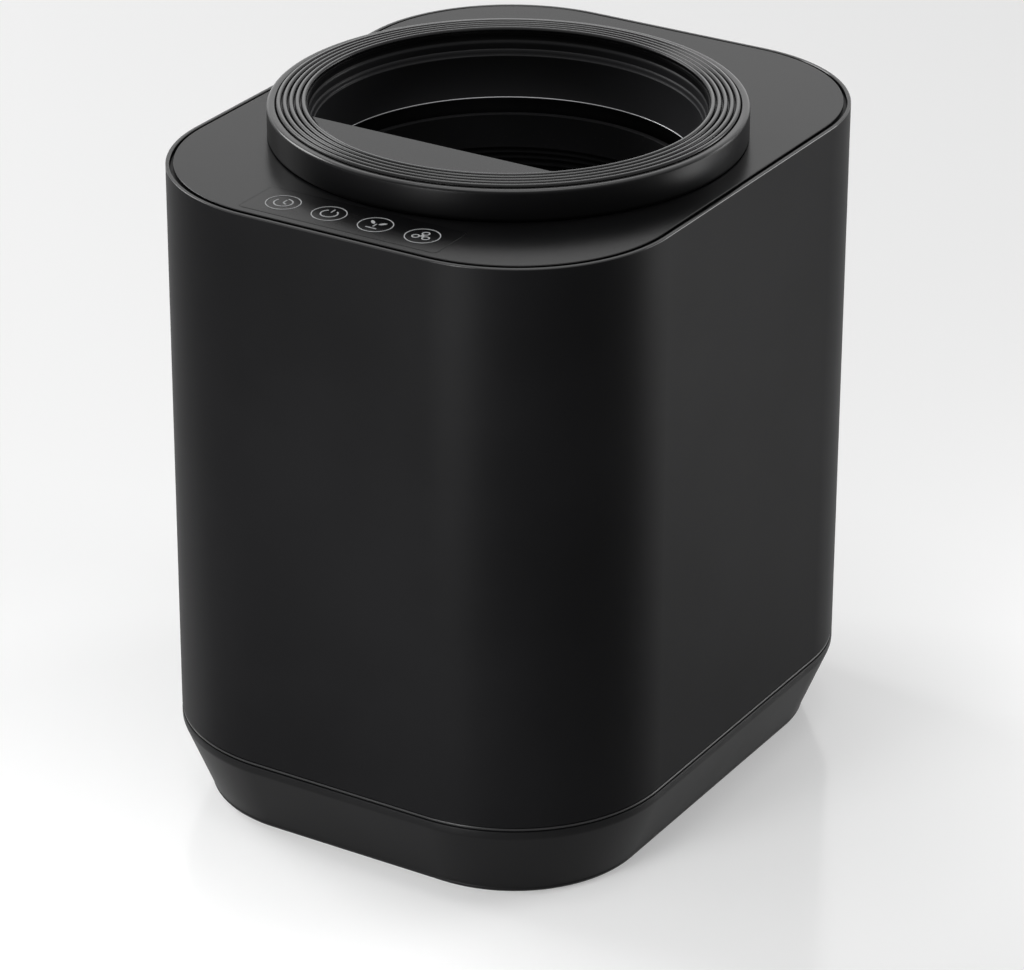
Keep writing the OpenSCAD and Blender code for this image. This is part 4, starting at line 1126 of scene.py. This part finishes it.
@dataclass
class Bucket:
    """The lift-out bucket with its swinging handle."""

    centre: Point = COLLAR_AXIS
    low: float = 147.3
    high: float = 317.0
    wall_radius: float = 95.1
    wall: float = 1.5
    draw: float = 2.4
    floor: float = 2.5
    rim_out: float = 97.4
    rim_bead: float = 1.5
    bore: float = 9.05
    boss: float = 13.0
    boss_high: float = 159.8
    marks: Tuple[float, ...] = (18.0, 21.0, 24.0, 27.5, 32.0)
    mark_rise: float = 0.3
    pivot: float = 311.0
    ear_at: float = 90.2
    ear: Point3 = (4.4, 12.0, 10.0)
    ear_round: float = 1.2
    bar_at: float = 211.2
    bar: float = 4.0
    bar_round: float = 0.6
    bar_reach: Point = (50.0, 91.6)
    bar_turns: Point = (60.0, 240.0)
    handle_half: float = 87.6
    handle_reach: float = 74.0
    rod: float = 2.5
    eye: float = 5.0
    eye_bore: float = 2.25
    eye_thick: float = 4.0
    grip: float = 4.3
    grip_start: float = -115.0
    grip_span: float = 50.0
    grip_rings: int = 11
    grip_ring_pitch: float = 4.6
    grip_ring_span: float = 2.0

    def inner(self, drop: float) -> float:
        """Gives the inner radius at a distance below the rim."""
        return self.wall_radius - self.wall - self.draw * drop / (self.high - self.low - 8)

    def shell(self) -> bpy.types.Object:
        """Makes the bucket: rolled rim, ring marks, drawn wall, floor, boss and ears."""
        foot, floor = self.wall_radius - self.draw, self.low + self.floor
        bead = self.high - self.rim_bead
        rings = [(self.inner(d) - share * self.mark_rise, self.high - d + up) for d in self.marks
                 for share, up in ((0, 0.9), (0.7, 0.45), (1, 0), (0.7, -0.45), (0, -0.9))]
        form = Form().spin(
            [(self.bore, self.low), (foot - 5, self.low)] + arc((foot - 5, self.low + 5), 5, -80, 0)
            + [(self.wall_radius, self.high - 4), (self.rim_out - 0.6, self.high - 4)]
            + arc((self.rim_out - self.rim_bead, bead), self.rim_bead, -10, 90, 8)
            + [(self.inner(0) + 0.8, self.high)]
            + arc((self.inner(0) + 0.4, self.high - 0.4), 0.4, 90, 180, 3) + rings
            + arc((foot - self.wall - 6, floor + 6), 6, 0, -90, 8)
            + [(self.boss + 1.2, floor), (self.boss, floor + 1.2),
               (self.boss, self.boss_high - 0.4), (self.boss - 0.4, self.boss_high),
               (self.bore, self.boss_high)], self.centre)
        x, y = self.centre
        for side in (-1, 1):
            place = moved(x + side * (self.ear_at + self.ear[0] / 2), y, self.pivot - 2)
            form.add(Form().block(self.ear, place).soften(self.ear_round, 60))
        return form.piece("BucketCoated")

    def bars(self) -> bpy.types.Object:
        """Makes the two bars that hold the waste back from turning with the stirrer."""
        x, y = self.centre
        low, high = self.bar_reach
        form = Form()
        for turn in self.bar_turns:
            lying = moved(x, y, self.bar_at, turn) @ moved((low + high) / 2, 0.0, 0.0, 90, "Y")
            form.add(Form().post(self.bar, high - low, lying).soften(self.bar_round, 60))
        return form.piece("BreakerBars")

    @property
    def bow(self) -> float:
        """Radius of the folded handle's arc."""
        return (self.handle_half ** 2 + self.handle_reach ** 2) / (2 * self.handle_reach)

    def rod_ring(self, radius: float, start: float, angle: float) -> Form:
        """Makes a length of the handle's arc.

        Args:
            radius: The rod's radius.
            start: The first angle, in degrees.
            angle: The angle swept.

        Returns:
            The form.
        """
        middle = (self.centre[0], self.centre[1] + self.bow - self.handle_reach)
        ring = arc((self.bow, self.pivot), radius, 0, 360, 24)[:-1]
        form = Form().part_spin(ring, middle, start, angle, max(6, int(abs(angle) / 1.5)))
        return form

    def handle(self) -> bpy.types.Object:
        """Makes the handle's rod and its two eyes."""
        x, y = self.centre
        rise = self.bow - self.handle_reach
        half = math.degrees(math.atan2(self.handle_half - 1.6, rise + 3.2))
        form = self.rod_ring(self.rod, -90 - half, 2 * half)
        eye, bore, thick = self.eye, self.eye_bore, self.eye_thick
        for side in (-1, 1):
            form.add(Form().spin([(bore, -thick / 2), (eye - 0.6, -thick / 2)]
                                 + arc((eye - 0.6, 0.6 - thick / 2), 0.6, -90, 0, 3)
                                 + arc((eye - 0.6, thick / 2 - 0.6), 0.6, 0, 90, 3)
                                 + [(bore, thick / 2)], (0.0, 0.0), 40),
                     moved(x + side * self.handle_half, y, self.pivot, 90, "Y"))
        return form.piece("HandleRod")

    def sleeve(self) -> bpy.types.Object:
        """Makes the grip: a soft sleeve with finger rings."""
        form = Form()
        form.add(self.rod_ring(self.grip - 0.5, self.grip_start, self.grip_span).soften(0.5, 60))
        for k in range(self.grip_rings):
            start = self.grip_start + 1 + self.grip_ring_pitch * k
            form.add(self.rod_ring(self.grip, start, self.grip_ring_span).soften(0.5, 60))
        return form.piece("HandleGrip")

    def build(self, shop: Workshop) -> None:
        """Builds the bucket and its handle."""
        shop.stand_in(self.shell(), "bucket", "bucket_pan")
        shop.stand_in(self.bars(), "breaker_bars")
        shop.stand_in(self.handle(), "bucket_handle")
        shop.stand_in(self.sleeve(), "handle_grip")
        shop.dress(["bucket_bushing", "shaft_seal", "handle_pins"])


@dataclass
class Stirrer:
    """The stirrer on its shaft."""

    def build(self, shop: Workshop) -> None:
        """Dresses the stirrer's pieces."""
        shop.dress(["stirrer", "stirrer_shaft", "stirrer_nut", "bucket_coupling"])


@dataclass
class Drive:
    """The gearbox and motor under the chamber."""

    def build(self, shop: Workshop) -> None:
        """Dresses the drive's pieces."""
        shop.dress(["gearbox_housing", "gearbox_cover", "output_bearing", "idler_axle",
                    "drive_motor", "output_gear", "output_shaft", "drive_coupling", "idler_gear",
                    "motor_pinion"])


@dataclass
class Chamber:
    """The heated chamber that the bucket stands in."""

    def build(self, shop: Workshop) -> None:
        """Dresses the chamber's pieces."""
        shop.dress(["chamber_liner", "liner_screws", "chamber_legs", "heater_band",
                    "insulation_jacket", "thermal_cutout", "temperature_sensor"])


@dataclass
class AirPath:
    """The duct, blower and filter drawer at the back."""

    def build(self, shop: Workshop) -> None:
        """Dresses the air path's pieces."""
        shop.dress(["air_duct", "blower_housing", "blower_cover", "fan_motor", "fan_rotor",
                    "filter_housing", "filter_drawer", "filter_cartridge"])


@dataclass
class Power:
    """The mains inlet, its lead and the power board."""

    def build(self, shop: Workshop) -> None:
        """Dresses the power pieces."""
        shop.dress(["power_inlet", "inlet_pins", "inlet_lead", "power_board", "power_components"])


# ---------------------------------------------------------------- studio


def heading(azimuth: float, elevation: float) -> Vector:
    """Gives the direction of two angles in degrees; azimuth 0 is in front and 90 to the right."""
    turn, rise = math.radians(azimuth), math.radians(elevation)
    return Vector((math.sin(turn) * math.cos(rise), -math.cos(turn) * math.cos(rise),
                   math.sin(rise)))


@dataclass(frozen=True)
class Softbox:
    """A soft lamp that looks at a point."""

    name: str
    azimuth: float
    elevation: float
    distance: float
    width: float
    height: float
    watts: float
    target: Point3 = (0.0, 0.0, 0.19)

    def place(self) -> None:
        """Puts the lamp up."""
        away = heading(self.azimuth, self.elevation)
        data = bpy.data.lights.new(self.name, "AREA")
        data.shape, data.energy = "RECTANGLE", self.watts
        data.size, data.size_y = self.width, self.height
        lamp = bpy.data.objects.new(self.name, data)
        lamp.location = Vector(self.target) + away * self.distance
        lamp.rotation_euler = away.to_track_quat("Z", "Y").to_euler()
        lamp.visible_camera = False
        bpy.context.scene.collection.objects.link(lamp)


@dataclass
class Studio:
    """The floor, the world, the lamps and the camera."""

    floor_size: float = 12.0
    floor_tones: Tuple[Colour, Colour] = ((0.84, 0.84, 0.84), (0.86, 0.86, 0.86))
    floor_rough: float = 0.14
    floor_glow: float = 0.27
    world_fill: float = 0.02
    camera_at: Point3 = (1.1191, -1.8353, 1.1816)
    azimuth: float = 31.385
    elevation: float = 25.697
    roll: float = 0.179
    lens: float = 162.88
    sensor: float = 36.0
    lamps: Tuple[Softbox, ...] = (
        Softbox("TopWide", 0.0, 89.0, 2.6, 2.0, 2.0, 18.0),
        Softbox("LeftHigh", -90.0, 32.0, 2.6, 1.2, 1.2, 29.0),
        Softbox("FrontWide", -35.0, 0.0, 0.8, 0.5, 0.34, 0.9),
        Softbox("FrontStripLeft", -6.0, 0.0, 0.7, 0.2, 0.32, 2.1),
        Softbox("FrontStripRight", 2.0, 0.0, 0.85, 0.2, 0.32, 2.2),
        Softbox("FrontStripNear", 2.6, 0.0, 0.565, 0.14, 0.3, 0.5),
        Softbox("RightStrip", 120.0, 0.0, 0.7, 0.25, 0.3, 1.9),
        Softbox("BackRightLow", 145.0, 9.0, 2.2, 0.6, 1.0, 14.0),
    )

    def floor(self) -> None:
        """Lays a plain pale floor."""
        form = Form()
        bmesh.ops.create_grid(form.bm, x_segments=1, y_segments=1, size=self.floor_size / 2 / MM)
        plane = form.piece("Floor")
        shade = Shade(bpy.data.materials.new("PaleFloor"))
        tone = shade.blend(shade.noise(2.0, 3.0), *self.floor_tones)
        plane.data.materials.append(shade.dress(Base_Color=tone, Roughness=self.floor_rough,
                                                Specular_IOR_Level=0.5))
        plain = shade.surface.outputs[0]
        glow = shade.node("ShaderNodeEmission", {}, {"Color": WHITE, "Strength": self.floor_glow})
        lit = shade.node("ShaderNodeAddShader", {}, {0: plain, 1: glow})
        both = shade.node("ShaderNodeMixShader", {}, {0: shade.seen(), 1: plain, 2: lit})
        shade.feed(shade.tree.nodes["Material Output"].inputs["Surface"], both)

    def world(self) -> None:
        """Gives a white surround to the camera, gloss and glass, and dimmer light to the rest."""
        shade = Shade(bpy.data.worlds.new("Surround"), "Background")
        bpy.context.scene.world = shade.dress(Color=WHITE, Strength=self.world_fill)
        white = shade.node("ShaderNodeBackground", {}, {"Color": WHITE, "Strength": 1.0})
        both = shade.node("ShaderNodeMixShader", {},
                          {0: shade.seen(), 1: shade.surface.outputs[0], 2: white})
        shade.feed(shade.tree.nodes["World Output"].inputs["Surface"], both)

    def camera(self) -> None:
        """Sets the camera at the photograph's viewing angle, for a picture of PICTURE's shape."""
        turn, roll = math.radians(self.azimuth), math.radians(self.roll)
        back = heading(self.azimuth, self.elevation)
        right = Vector((math.cos(turn), math.sin(turn), 0.0))
        up = back.cross(right)
        across = right * math.cos(roll) + up * math.sin(roll)
        upright = up * math.cos(roll) - right * math.sin(roll)
        data = bpy.data.cameras.new("Camera")
        data.lens, data.sensor_width = self.lens, self.sensor
        data.sensor_fit = "HORIZONTAL" if PICTURE[0] >= PICTURE[1] else "VERTICAL"
        eye = bpy.data.objects.new("Camera", data)
        eye.matrix_world = Matrix.Translation(self.camera_at) @ Matrix(
            (across, upright, back)).transposed().to_4x4()
        bpy.context.scene.collection.objects.link(eye)
        bpy.context.scene.camera = eye

    def build(self) -> None:
        """Sets everything up."""
        self.camera()
        self.floor()
        self.world()
        for lamp in self.lamps:
            lamp.place()
        bpy.context.scene.view_settings.view_transform = "Standard"


def main() -> None:
    """Loads the frame, builds the composter's pieces in order and sets up the studio."""
    logging.basicConfig(level=logging.INFO, format="%(name)s: %(message)s")
    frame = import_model()
    Studio().build()
    shop = Workshop(frame)
    for assembly in (Case(), Collar(), TouchPanel(), Bucket(), Stirrer(), Drive(), Chamber(),
                     AirPath(), Power()):
        LOG.info("building %s", type(assembly).__name__)
        assembly.build(shop)


if __name__ == "__main__":
    main()
